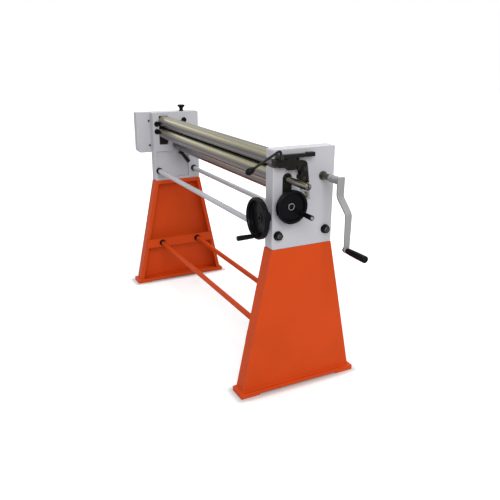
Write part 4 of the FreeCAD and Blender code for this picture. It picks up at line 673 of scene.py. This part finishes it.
class Carcass:
    """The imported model's own nodes."""

    def build(self) -> None:
        """Dress every node in its own finish or its slot's."""
        slots = {entry["node"]: Slot(entry["material_slot"])
                 for entry in frame["record"]["subparts"]}
        for name, node in frame["nodes"].items():
            PAINTBOX.dress(node, name, slots[name], CAD_SMOOTH_ANGLE)
            LOG.info("dressed %s", name)


@dataclass
class Grip:
    """Turning grip sleeve: it swells outward and ends in a rounded nose round its bolt."""

    node: str
    center: Point
    axis: Axis
    length: float
    root: float
    full: float
    well: float
    well_depth: float
    bore: float
    belly: float = 0.5
    nose: float = 3.2
    stations: tuple[float, ...] = (0.1, 0.25, 0.4, 0.55, 0.7, 0.82)

    def section(self) -> list[Spot]:
        """Section of the sleeve."""
        swell = [(self.length * t, self.root + (self.full - self.root) * t ** 0.75
                  + self.belly * math.sin(math.pi * t)) for t in self.stations]
        floor = self.length - self.well_depth
        return [(0.0, self.bore), (0.0, self.root - 1.0), (0.7, self.root - 0.2), *swell,
                *arc((self.length - self.nose, self.full - self.nose), self.nose, 90, 5, 7),
                (self.length - 0.4, self.well + 0.35), (self.length - 1.0, self.well),
                (floor, self.well), (floor, self.bore)]

    def build(self) -> None:
        """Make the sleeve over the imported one; its node and its body share one name."""
        form = Form()
        form.turned(self.section(), place_at(*self.center, self.axis), 56)
        form.finish(self.node + "_sleeve", Slot.PLASTIC, self.node, self.node)


@dataclass
class GripBolt:
    """Shouldered bolt of the outer grip, with a socket in its round head."""

    start: Point = (750.0, -31.9, 758.2)
    length: float = 80.0
    shank: float = 3.9
    chamfer: float = 0.6
    overlap: float = 0.5
    head: ScrewHead = ScrewHead(radius=7.0, height=4.85, socket=7.0, depth=3.2)

    def build(self) -> None:
        """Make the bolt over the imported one."""
        form = Form()
        place = place_at(*self.start)
        neck = self.length - self.head.height
        end = neck + self.overlap
        form.turned([(0.0, 0.0), (0.0, self.shank - self.chamfer), (self.chamfer, self.shank),
                     (end, self.shank), (end, 0.0)], place, 32)
        form.socket_head(place @ Matrix.Translation((neck * MM, 0, 0)), self.head)
        form.finish("outer_grip_bolt_socketed", Slot.STEEL, "outer_wheel", "outer_grip_bolt")


@dataclass
class Handwheel:
    """Dished handwheel with a rounded rim, a flat pan, a hub and a boss for its grip."""

    node: str
    body: str
    center: Point
    axis: Axis
    radius: float
    face: float
    hub_face: float
    back: float
    bore: float
    grip_reach: float
    grip_angle: float
    square: float = 0.0
    square_depth: float = 0.0
    square_mouth: float = 10.5
    rim_width: float = 22.0
    rim_thick: float = 12.5
    rim_soft: float = 0.46
    rim_slope: float = 8.5
    hub_radius: float = 17.0
    hub_rise: float = 3.0
    hub_round: float = 1.2
    web_thick: float = 7.0
    web_flare: float = 7.0
    fillet: float = 3.0
    hub_fillet: float = 2.0
    boss_radius: float = 10.0
    boss_round: float = 1.5

    def section(self) -> list[Spot]:
        """Section of the wheel from the back of the bore round the rim to the hub's face."""
        rim_back = self.face - self.rim_width
        rim_in = self.radius - self.rim_thick
        pan = self.hub_face - self.hub_rise
        web_back = pan - self.web_thick
        soft, fillet, small = self.rim_thick * self.rim_soft, self.fillet, self.hub_fillet
        return [
            (self.back, self.bore), (self.back, self.hub_radius - 1),
            (self.back + 1, self.hub_radius),
            *arc((web_back - fillet, self.hub_radius + fillet), fillet, -90, 0, 4),
            (web_back, rim_in - self.web_flare), (rim_back + 0.6, rim_in + 1.5),
            *arc((rim_back + soft, self.radius - soft), soft, 195, 90, 7),
            *arc((self.face - soft, self.radius - soft), soft, 90, -50, 9),
            (self.face - self.rim_slope, rim_in + 0.3),
            *arc((pan + fillet, rim_in - fillet), fillet, 90, 180, 4),
            *arc((pan + small, self.hub_radius + small), small, 180, 270, 3),
            *arc((self.hub_face - self.hub_round, self.hub_radius - self.hub_round),
                 self.hub_round, 90, 0, 3)]

    def mouth(self) -> list[tuple[float, Varied]]:
        """Section of the hub's mouth: a chamfered bore, or a square recess."""
        if not self.square:
            return [(self.hub_face, self.bore + 0.8), (self.hub_face - 0.8, self.bore)]
        flats, edge = (even_sided(size, 4, math.pi / 4)
                       for size in (self.square, self.square + 1.0))
        bottom = self.hub_face - self.square_depth
        return [(self.hub_face, self.square_mouth), (self.hub_face, edge),
                (self.hub_face - 0.5, flats), (bottom, flats), (bottom, self.bore)]

    def build(self) -> None:
        """Make the wheel, with its grip boss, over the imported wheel."""
        form = Form()
        place = place_at(*self.center, self.axis)
        form.turned(self.section() + self.mouth(), place, 96)
        angle = math.radians(self.grip_angle)
        across, up = self.grip_reach * math.cos(angle), self.grip_reach * math.sin(angle)
        spot = Vector((0, across, up) if self.axis is Axis.X else (across, 0, up))
        low, high, soft = self.face - self.rim_width + 3, self.face, self.boss_round
        form.turned([(low, 0), (low, self.boss_radius),
                     *arc((high - soft, self.boss_radius - soft), soft, 90, 0, 3), (high, 0)],
                    Matrix.Translation(spot * MM) @ place, 40)
        form.finish(self.node + "_moulding", Slot.PLASTIC, self.body, self.node)


@dataclass
class HubTrim:
    """Steel ring and socket screw in the hub of the outer handwheel."""

    face: float = 751.0
    y: float = -74.5
    z: float = 788.0
    proud: float = 0.02
    ring_inner: float = 10.6
    ring_outer: float = 13.6
    ring_round: float = 0.6
    recess: float = 4.4
    head: ScrewHead = ScrewHead(radius=7.2, height=2.6, socket=6.0, depth=2.0)

    def build(self) -> None:
        """Make the ring and the screw."""
        ring, soft = Form(), self.ring_round
        ring.turned([(0.0, self.ring_inner), (0.0, self.ring_outer),
                     *arc((soft, self.ring_outer - soft), soft, 90, 0, 3),
                     *arc((soft, self.ring_inner + soft), soft, 0, -90, 3)],
                    place_at(self.face + self.proud, self.y, self.z), 64)
        ring.finish("outer_hub_ring", Slot.STEEL, "outer_wheel")
        screw = Form()
        screw.socket_head(place_at(self.face - self.recess, self.y, self.z), self.head)
        screw.finish("outer_hub_screw", Slot.DARK, "outer_wheel")


@dataclass
class CrankArm:
    """Crank arm bent from flat bar, tapered to its foot, welded to a tube hub."""

    y: float = 82.7
    hub_z: float = 886.0
    hub_start: float = 769.0
    hub_end: float = 832.5
    hub_radius: float = 15.0
    hub_chamfer: float = 1.2
    weld: float = 0.4
    weld_width: float = 3.0
    bore: float = 12.05
    near: float = 836.0
    far: float = 894.0
    bend_top: float = 828.0
    bend_low: float = 775.0
    foot_z: float = 636.0
    thick: float = 8.0
    top_half: float = 16.0
    foot_half: float = 11.5
    blend: float = 11.0
    corner: float = 3.5
    edge: float = 1.3

    def half_width(self, z: float) -> float:
        """Work out half of the bar's width.

        Args:
            z: Height on the bar.

        Returns:
            The half width there.
        """
        top = self.hub_z + self.top_half
        if z > top - self.corner:
            depth = z - (top - self.corner)
            return self.top_half - self.corner + math.sqrt(max(self.corner ** 2 - depth ** 2, 0.0))
        if z > self.hub_z:
            return self.top_half
        if z < self.foot_z:
            return math.sqrt(max(self.foot_half ** 2 - (self.foot_z - z) ** 2, 0.04))
        share = (z - self.foot_z) / (self.hub_z - self.foot_z)
        return self.foot_half + (self.top_half - self.foot_half) * share

    def path(self) -> list[Vector]:
        """Centre line of the bar from its top to its foot, in the plane of x and z."""
        top = Vector((self.near, 0, self.hub_z + self.top_half))
        foot = Vector((self.far, 0, self.foot_z - self.foot_half))
        upper, lower = Vector((self.near, 0, self.bend_top)), Vector((self.far, 0, self.bend_low))
        return [*(top - Vector((0, 0, self.corner * t)) for t in (0.0, 0.08, 0.3, 0.6, 1.0)),
                Vector((self.near, 0, self.hub_z)),
                *bend(top, upper, lower, self.blend, 7), *bend(upper, lower, foot, self.blend, 7),
                *(Vector((self.far, 0, self.foot_z - self.foot_half * math.sin(turn)))
                  for turn in (0.0, 0.4, 0.8, 1.1, 1.3, 1.45, 1.55))]

    def across(self, half: float) -> list[Spot]:
        """Section of the bar with rounded corners.

        Args:
            half: Half of its width.

        Returns:
            Its points as (across the width, through the thickness).
        """
        soft, points = min(self.edge, half * 0.8), []
        for wide, deep, start in ((1, 1, 0), (-1, 1, 90), (-1, -1, 180), (1, -1, 270)):
            for turn in (math.radians(start + 30 * step) for step in range(4)):
                points.append((wide * (half - soft) + soft * math.cos(turn),
                               deep * (self.thick / 2 - soft) + soft * math.sin(turn)))
        return points

    def build(self) -> None:
        """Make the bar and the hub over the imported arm."""
        form, path, rings = Form(), self.path(), []
        for index, point in enumerate(path):
            before, after = path[max(index - 1, 0)], path[min(index + 1, len(path) - 1)]
            tangent = (after - before).normalized()
            normal = Vector((-tangent.z, 0, tangent.x))
            rings.append(form.points([point + normal * deep + Vector((0, self.y + wide, 0))
                                      for wide, deep in self.across(self.half_width(point.z))]))
        form.skinned(rings)
        form.turned([(self.hub_start, self.bore),
                     (self.hub_start, self.hub_radius - self.hub_chamfer),
                     (self.hub_start + self.hub_chamfer, self.hub_radius),
                     (self.hub_end - self.weld_width, self.hub_radius),
                     (self.hub_end, self.hub_radius + self.weld), (self.hub_end, self.bore)],
                    place_at(0.0, self.y, self.hub_z), 56)
        form.finish("crank_arm_bar", Slot.CASTING, "crank", "crank_arm", smooth=40.0)


@dataclass
class WeldBeads:
    """Weld beads where the stands meet their base plates."""

    inner: float = 657.0
    outer: float = 716.0
    foot_half: float = 258.5
    floor: float = 21.0
    bead: float = 3.2
    ripple: float = 0.35
    pitch: float = 4.5

    def build(self) -> None:
        """Make the beads of both stands."""
        form = Form()
        for side in (-1, 1):
            self.run(form, (side * self.outer, -self.foot_half),
                     (side * self.outer, self.foot_half))
            for end in (-1, 1):
                self.run(form, (side * self.inner, end * self.foot_half),
                         (side * self.outer, end * self.foot_half))
        form.finish("stand_weld_beads", Slot.STAND, "frame", smooth=60.0)

    def run(self, form: Form, start: Spot, end: Spot) -> None:
        """Add one rippled bead along a straight seam.

        Args:
            form: Form under construction.
            start: First point of the seam, as (x, y).
            end: Last point of the seam.
        """
        first, last = Vector((*start, self.floor)), Vector((*end, self.floor))
        steps = int((last - first).length / self.pitch) * 3
        radii = [self.bead + self.ripple * math.cos(FULL_TURN * k / 3) for k in range(steps + 1)]
        radii[0] = radii[-1] = self.bead * 0.5
        form.swept([first.lerp(last, k / steps) for k in range(steps + 1)], radii, 10)


@dataclass
class RodFastenings:
    """Nuts, washers and threaded rod ends of the four tie rods."""

    flats: float = 28.0
    height: float = 14.0
    washer: float = 18.5
    washer_thick: float = 3.5
    washer_round: float = 0.8
    rod_end: float = 9.0
    play: float = 0.4
    cover: float = 0.05
    proud: float = 4.0
    chamfer: float = 1.3
    pitch: float = 1.3
    thread_depth: float = 0.5
    upper: tuple[Spot, ...] = ((-111.0, 670.0), (103.0, 670.0))
    lower: tuple[Spot, ...] = ((-115.0, 239.0), (107.0, 239.0))
    upper_wall: Spot = (662.0, 716.0)
    lower_wall: Spot = (648.0, 656.0)

    def faces(self) -> list[tuple[float, float, float, int, bool]]:
        """Every clamped wall face: place along, y, z, way outward from the wall, outside."""
        found = []
        for spots, (inside, outside) in ((self.upper, self.upper_wall),
                                         (self.lower, self.lower_wall)):
            for y, z in spots:
                for side in (-1, 1):
                    found += [(side * inside, y, z, -side, False),
                              (side * outside, y, z, side, True)]
        return found

    def facing(self, x: float, y: float, z: float, way: int) -> Matrix:
        """Give a place at a wall face that looks outward, with way 1 towards +X, -1 towards -X."""
        turn = Matrix.Identity(4) if way > 0 else Matrix.Rotation(math.pi, 4, "Z")
        return place_at(x, y, z) @ turn

    def tip(self) -> list[Spot]:
        """Section of the threaded, chamfered tip of a rod, from inside its nut outward."""
        crest, root = self.rod_end + self.cover, self.rod_end - self.thread_depth
        points = [(-2.0, 0.0), (-2.0, crest)]
        for low in (0.0, self.pitch):
            points += [(low, root), (low + self.pitch / 2, crest)]
        return points + [(self.proud + self.cover, crest),
                         (self.proud + 0.9, self.rod_end - self.chamfer),
                         (self.proud + 1.0, self.rod_end * 0.5), (self.proud + 1.0, 0.0)]

    def build(self) -> None:
        """Make the nuts, washers and rod ends."""
        nuts, washers, ends = Form(), Form(), Form()
        soft, hole = self.washer_round, self.rod_end + self.play
        disc = [(0.0, hole), (0.0, self.washer),
                *arc((self.washer_thick - soft, self.washer - soft), soft, 90, 0, 3),
                (self.washer_thick, hole)]
        for x, y, z, way, outside in self.faces():
            washers.turned(disc, self.facing(x, y, z, way), 48)
            seat = x + way * self.washer_thick
            nuts.nut(self.facing(seat, y, z, way), self.flats, self.height, self.rod_end)
            if outside:
                ends.turned(self.tip(), self.facing(seat + way * self.height, y, z, way), 40)
        nuts.finish("rod_nuts_machined", Slot.DARK, "frame", "rod_nuts")
        washers.finish("rod_washers_machined", Slot.DARK, "frame", "rod_washers")
        ends.finish("rod_end_threads", Slot.STEEL, "frame")


@dataclass
class GuideScrews:
    """Round socket screws on the inner face of the left head."""

    face: float = -662.0
    head: ScrewHead = ScrewHead(radius=15.0, height=6.0, socket=8.0, depth=3.4)
    shank: float = 8.0
    shank_length: float = 25.0
    overlap: float = 0.5
    spots: tuple[Spot, ...] = ((-114.0, 936.0), (-114.0, 894.0), (49.0, 952.0))

    def build(self) -> None:
        """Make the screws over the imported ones."""
        form = Form()
        for y, z in self.spots:
            place = place_at(self.face, y, z)
            form.socket_head(place, self.head)
            form.turned([(-self.shank_length, 0.0), (-self.shank_length, self.shank),
                         (self.overlap, self.shank), (self.overlap, 0.0)], place, 32)
        form.finish("guide_screws_socketed", Slot.DARK, "frame", "guide_bolts")


@dataclass
class PlungerKnob:
    """Pull knob of the lock plunger: mushroom cap, waisted stem and pin."""

    x: float = -689.0
    y: float = 45.0
    pin: float = 6.0
    stem: float = 12.0
    cap: float = 21.0
    cap_round: float = 3.5
    bottom: float = 970.0
    seat: float = 1000.1
    top: float = 1036.0

    def build(self) -> None:
        """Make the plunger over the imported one."""
        form, low, high, soft = Form(), self.seat, self.top, self.cap_round
        form.turned([(self.bottom, 0.0), (self.bottom + 1, self.pin - 1),
                     (self.bottom + 2, self.pin), (low, self.pin), (low, self.stem - 1),
                     (low + 1, self.stem), (low + 9, self.stem - 1.6),
                     (low + 17, self.stem - 1.0), (low + 21, self.stem + 2.5),
                     (low + 24.5, self.cap - 1.8), (high - 8.0, self.cap),
                     *arc((high - 4.5, self.cap - soft), soft, 90, 10, 6),
                     (high - 0.6, self.cap - 6.5), (high - 1.6, self.cap - 9.0),
                     (high - 1.6, 0.0)], place_at(self.x, self.y, 0.0, Axis.Z), 64)
        form.finish("lock_plunger_knob", Slot.PLASTIC, "lock_plunger", "lock_plunger")


@dataclass
class LockLever:
    """Left lock lever: hub with a rounded end and a stout tapered bar."""

    y: float = 26.0
    z: float = 767.0
    back: float = -694.0
    hub_start: float = -673.7
    hub_end: float = -639.7
    hub: float = 11.0
    hub_round: float = 2.0
    pivot: float = 6.0
    bar_x: float = -651.0
    length: float = 70.0
    lean: float = -52.0

    def build(self) -> None:
        """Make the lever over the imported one."""
        form, soft = Form(), self.hub_round
        form.turned([(self.back, 0.0), (self.back, self.pivot), (self.hub_start, self.pivot),
                     (self.hub_start, self.hub - 1), (self.hub_start + 1, self.hub),
                     *arc((self.hub_end - soft, self.hub - soft), soft, 90, 0, 4),
                     (self.hub_end, 0.0)], place_at(0.0, self.y, self.z), 48)
        angle = math.radians(self.lean)
        along = Vector((0.0, math.cos(angle), math.sin(angle)))
        start = Vector((self.bar_x, self.y, self.z))
        end = self.length
        bar = [(0.0, 8.0), (10.0, 9.0), (24.0, 10.2), (46.0, 11.0), (end - 5.0, 11.1),
               (end - 2.0, 10.6), (end - 0.5, 9.0), (end, 6.5)]
        form.swept([start + along * station for station, _ in bar],
                   [radius for _, radius in bar], 28)
        form.finish("left_lock_lever_forging", Slot.IRON, "left_lock_lever", "left_lock_lever")


@dataclass
class ClampLever:
    """Bent rod lever of the quick clamp, with its flat eye and moulded knob."""

    x: float = 752.8
    half: float = 5.4
    eye: Spot = (-124.5, 975.8)
    eye_radius: float = 11.0
    eye_round: float = 1.2
    hole: float = 4.05
    corner: Spot = (-127.0, 1003.0)
    reach: float = 13.0
    end: Spot = (-244.0, 941.5)
    rod: float = 4.7
    neck: float = 5.2
    neck_points: int = 4
    knob: float = 13.5
    knob_length: float = 38.0
    knob_back: float = 12.0

    def point(self, spot: Spot) -> Vector:
        """Place in the lever's own plane."""
        return Vector((self.x, *spot))

    def path(self) -> list[Vector]:
        """Centre line from the eye round the bend to the end."""
        first, corner, last = (self.point(spot) for spot in (self.eye, self.corner, self.end))
        curve = bend(first, corner, last, self.reach, 8)
        into, out = curve[0], curve[-1]
        return [*(first + (into - first) * t for t in (0.3, 0.7)), *curve,
                *(out + (last - out) * t for t in (0.25, 0.5, 0.75, 1.0))]

    def build(self) -> None:
        """Make the rod with its eye, and the knob."""
        rod, path, half, soft = Form(), self.path(), self.half, self.eye_round
        radii = [self.neck if k < self.neck_points else self.rod for k in range(len(path))]
        rod.swept(path, radii, 24)
        rod.turned([(-half, self.hole), (-half, self.eye_radius - soft),
                    (-half + soft, self.eye_radius), (half - soft, self.eye_radius),
                    (half, self.eye_radius - soft), (half, self.hole)],
                   place_at(self.x, *self.eye), 56)
        rod.finish("clamp_lever_rod", Slot.IRON, "clamp_lever", "clamp_lever")
        knob = Form()
        along = (self.point(self.end) - self.point(self.corner)).normalized()
        turn = Vector((1, 0, 0)).rotation_difference(along).to_matrix().to_4x4()
        foot = self.point(self.end) - along * self.knob_back
        knob.turned([(0.0, 0.0), (0.0, 7.0), (0.8, 7.8), (4.0, 8.4), (7.0, 10.2), (11.0, 12.4),
                     (15.0, 13.3), (19.0, self.knob), (24.0, 13.2), (28.0, 12.1), (32.0, 9.8),
                     (35.0, 6.8), (37.0, 3.4), (self.knob_length, 0.0)],
                    Matrix.Translation(foot * MM) @ turn, 48)
        knob.finish("clamp_lever_ball", Slot.PLASTIC, "clamp_lever", "lever_knob", smooth=60.0)


@dataclass
class Lamp:
    """Soft rectangular lamp; places and sizes in metres, power in watts."""

    name: str
    spot: Point
    aim: Point
    size: Spot
    power: float

    def build(self) -> None:
        """Add the lamp, unseen by the camera."""
        data = bpy.data.lights.new(self.name, "AREA")
        data.shape = "RECTANGLE"
        data.size, data.size_y = self.size
        data.energy = self.power
        lamp = add_object(self.name, data)
        lamp.visible_camera = False
        direction = Vector(self.aim) - Vector(self.spot)
        lamp.matrix_world = (Matrix.Translation(self.spot)
                             @ direction.to_track_quat("-Z", "Y").to_matrix().to_4x4())


@dataclass
class Studio:
    """Plain studio, sizes in metres: pale floor, soft lamps, white surroundings and the camera."""

    eye: Point = (2.58461, -1.19217, 1.35599)
    right: Point = (0.45647774, 0.88972122, 0.00492209)
    up: Point = (-0.29233109, 0.14475297, 0.94529842)
    back: Point = (0.84033958, -0.43294657, 0.32616968)
    lens: float = 42.654
    sensor: float = 36.0
    white: Color = (1.0, 1.0, 1.0)
    dim: float = 0.50
    floor_size: float = 14.0
    floor_shade: float = 0.64
    floor_mirrored: float = 0.25
    fade_stretch: Color = (0.8, 1.0, 1.0)
    fade_reach: Spot = (0.5, 2.2)
    # Reach of the painted shadow round the base plates, in metres.
    painted_contact_shadow_reach: Spot = (0.002, 0.042)
    plate_middle: Point = (0.691, 0.0, 0.0)
    plate_half: Point = (0.041, 0.2725, 1.0)
    lamps: tuple[Lamp, ...] = (
        Lamp("key", (5.4, -1.7, 3.9), (0.3, 0.0, 0.8), (3.2, 3.2), 240.0),
        Lamp("top", (-0.4, 0.4, 3.6), (-0.1, 0.0, 0.6), (3.4, 1.4), 72.0),
        Lamp("strip", (-3.2, -0.9, 1.9), (0.0, -0.1, 0.9), (1.0, 0.4), 1.6))

    def camera(self) -> None:
        """Set up the camera."""
        data = bpy.data.cameras.new("camera")
        data.lens = self.lens
        data.sensor_width = self.sensor
        data.sensor_fit = "HORIZONTAL"
        data.clip_end = 100.0
        camera = add_object("camera", data)
        turn = Matrix((self.right, self.up, self.back)).transposed().to_4x4()
        camera.matrix_world = Matrix.Translation(self.eye) @ turn
        bpy.context.scene.camera = camera

    def world(self) -> None:
        """White surroundings for the camera and reflections, softer light for the object."""
        world = bpy.data.worlds.new("surroundings")
        bpy.context.scene.world = world
        world.use_nodes = True
        tree = Nodes(world.node_tree)
        soft, white = (tree.add("Background", "Background",
                                {"Color": self.white, "Strength": strength})
                       for strength in (self.dim, 1.0))
        seen = tree.add("LightPath", "Is Camera Ray")
        for ray in ("Is Glossy Ray", "Is Transmission Ray"):
            seen = tree.number("MAXIMUM", seen, tree.add("LightPath", ray))
        mixed = tree.add("MixShader", "Shader", {"Fac": seen, 1: soft, 2: white})
        tree.links.new(mixed, tree.nodes.new("ShaderNodeOutputWorld").inputs["Surface"])

    def floor(self) -> None:
        """Pale floor with the shadow, a painted shadow round the plates, and white away from the
        machine.
        """
        mesh = bmesh.new()
        bmesh.ops.create_grid(mesh, x_segments=1, y_segments=1, size=self.floor_size)
        floor = add_mesh("floor", mesh)
        floor.data.materials.append(self.floor_material())

    def floor_material(self) -> bpy.types.Material:
        """Diffuse floor with its own white for the camera, fuller away from the middle, none at the
        plates.
        """
        shader = Shader("floor_white")
        mirrored = shader.number("MULTIPLY", shader.add("LightPath", "Is Glossy Ray"),
                                 self.floor_mirrored)
        seen = shader.number("MAXIMUM", shader.add("LightPath", "Is Camera Ray"), mirrored)
        away = shader.vector("LENGTH", shader.stretched(self.fade_stretch), output="Value")
        fade = shader.scaled(away, self.fade_reach, (self.dim, 1.0), "SMOOTHSTEP")
        # Painted shadow: the floor's white is taken away within a few centimetres of the base
        # plates, so the floor there shows grey whether or not shade falls.
        painted_contact_shadow = shader.scaled(self.plate_distance(shader), self.painted_contact_shadow_reach,
                                easing="SMOOTHSTEP")
        strength = shader.number("MULTIPLY", seen, shader.number("MULTIPLY", fade, painted_contact_shadow))
        shader.feed({"Base Color": (self.floor_shade,) * 3, "Roughness": 0.9,
                     "Specular IOR Level": 0.1, "Emission Color": self.white,
                     "Emission Strength": strength})
        return shader.material

    def plate_distance(self, shader: Shader) -> Socket:
        """Distance on the floor from the nearer base plate.

        Args:
            shader: The floor's shader.

        Returns:
            The distance socket, in metres.
        """
        aside = shader.vector("ABSOLUTE", shader.place)
        from_middle = shader.vector("ABSOLUTE", shader.vector("SUBTRACT", aside, self.plate_middle))
        outside = shader.vector("SUBTRACT", from_middle, self.plate_half)
        clipped = shader.vector("MAXIMUM", outside, (0.0, 0.0, 0.0))
        return shader.vector("LENGTH", clipped, output="Value")

    def build(self) -> None:
        """Set up the studio."""
        self.camera()
        self.world()
        self.floor()
        for lamp in self.lamps:
            lamp.build()
        bpy.context.scene.view_settings.view_transform = "Standard"


def main() -> None:
    """Build the machine's visible pieces and the studio."""
    logging.basicConfig(level=logging.INFO, format="%(message)s")
    wheel_grip = {"root": 8.0, "full": 10.0, "well": 7.3, "well_depth": 5.0, "bore": 4.05}
    for assembly in (
            Studio(), Carcass(),
            Handwheel("outer_handwheel", "outer_wheel", (716.0, -74.5, 788.0), Axis.X,
                      radius=65.0, face=49.0, hub_face=35.0, back=6.3, bore=8.05,
                      grip_reach=52.0, grip_angle=-35.0),
            Handwheel("front_handwheel", "front_wheel", (689.0, -136.0, 741.0), Axis.MINUS_Y,
                      radius=80.5, face=59.0, hub_face=41.0, back=8.3, bore=5.55,
                      grip_reach=67.5, grip_angle=-90.0, square=13.0, square_depth=4.5),
            Grip("outer_grip", (765.3, -31.9, 758.2), Axis.X, 64.7, **wheel_grip),
            Grip("front_grip", (689.0, -195.3, 673.5), Axis.MINUS_Y, 74.7, **wheel_grip),
            Grip("crank_grip", (904.3, 82.7, 636.0), Axis.X, 104.7, root=11.5, full=13.5,
                 well=9.3, well_depth=10.0, bore=6.05),
            GripBolt(), CrankArm(), WeldBeads(), HubTrim(), RodFastenings(), GuideScrews(),
            PlungerKnob(), LockLever(), ClampLever()):
        assembly.build()


if __name__ == "__main__":
    main()
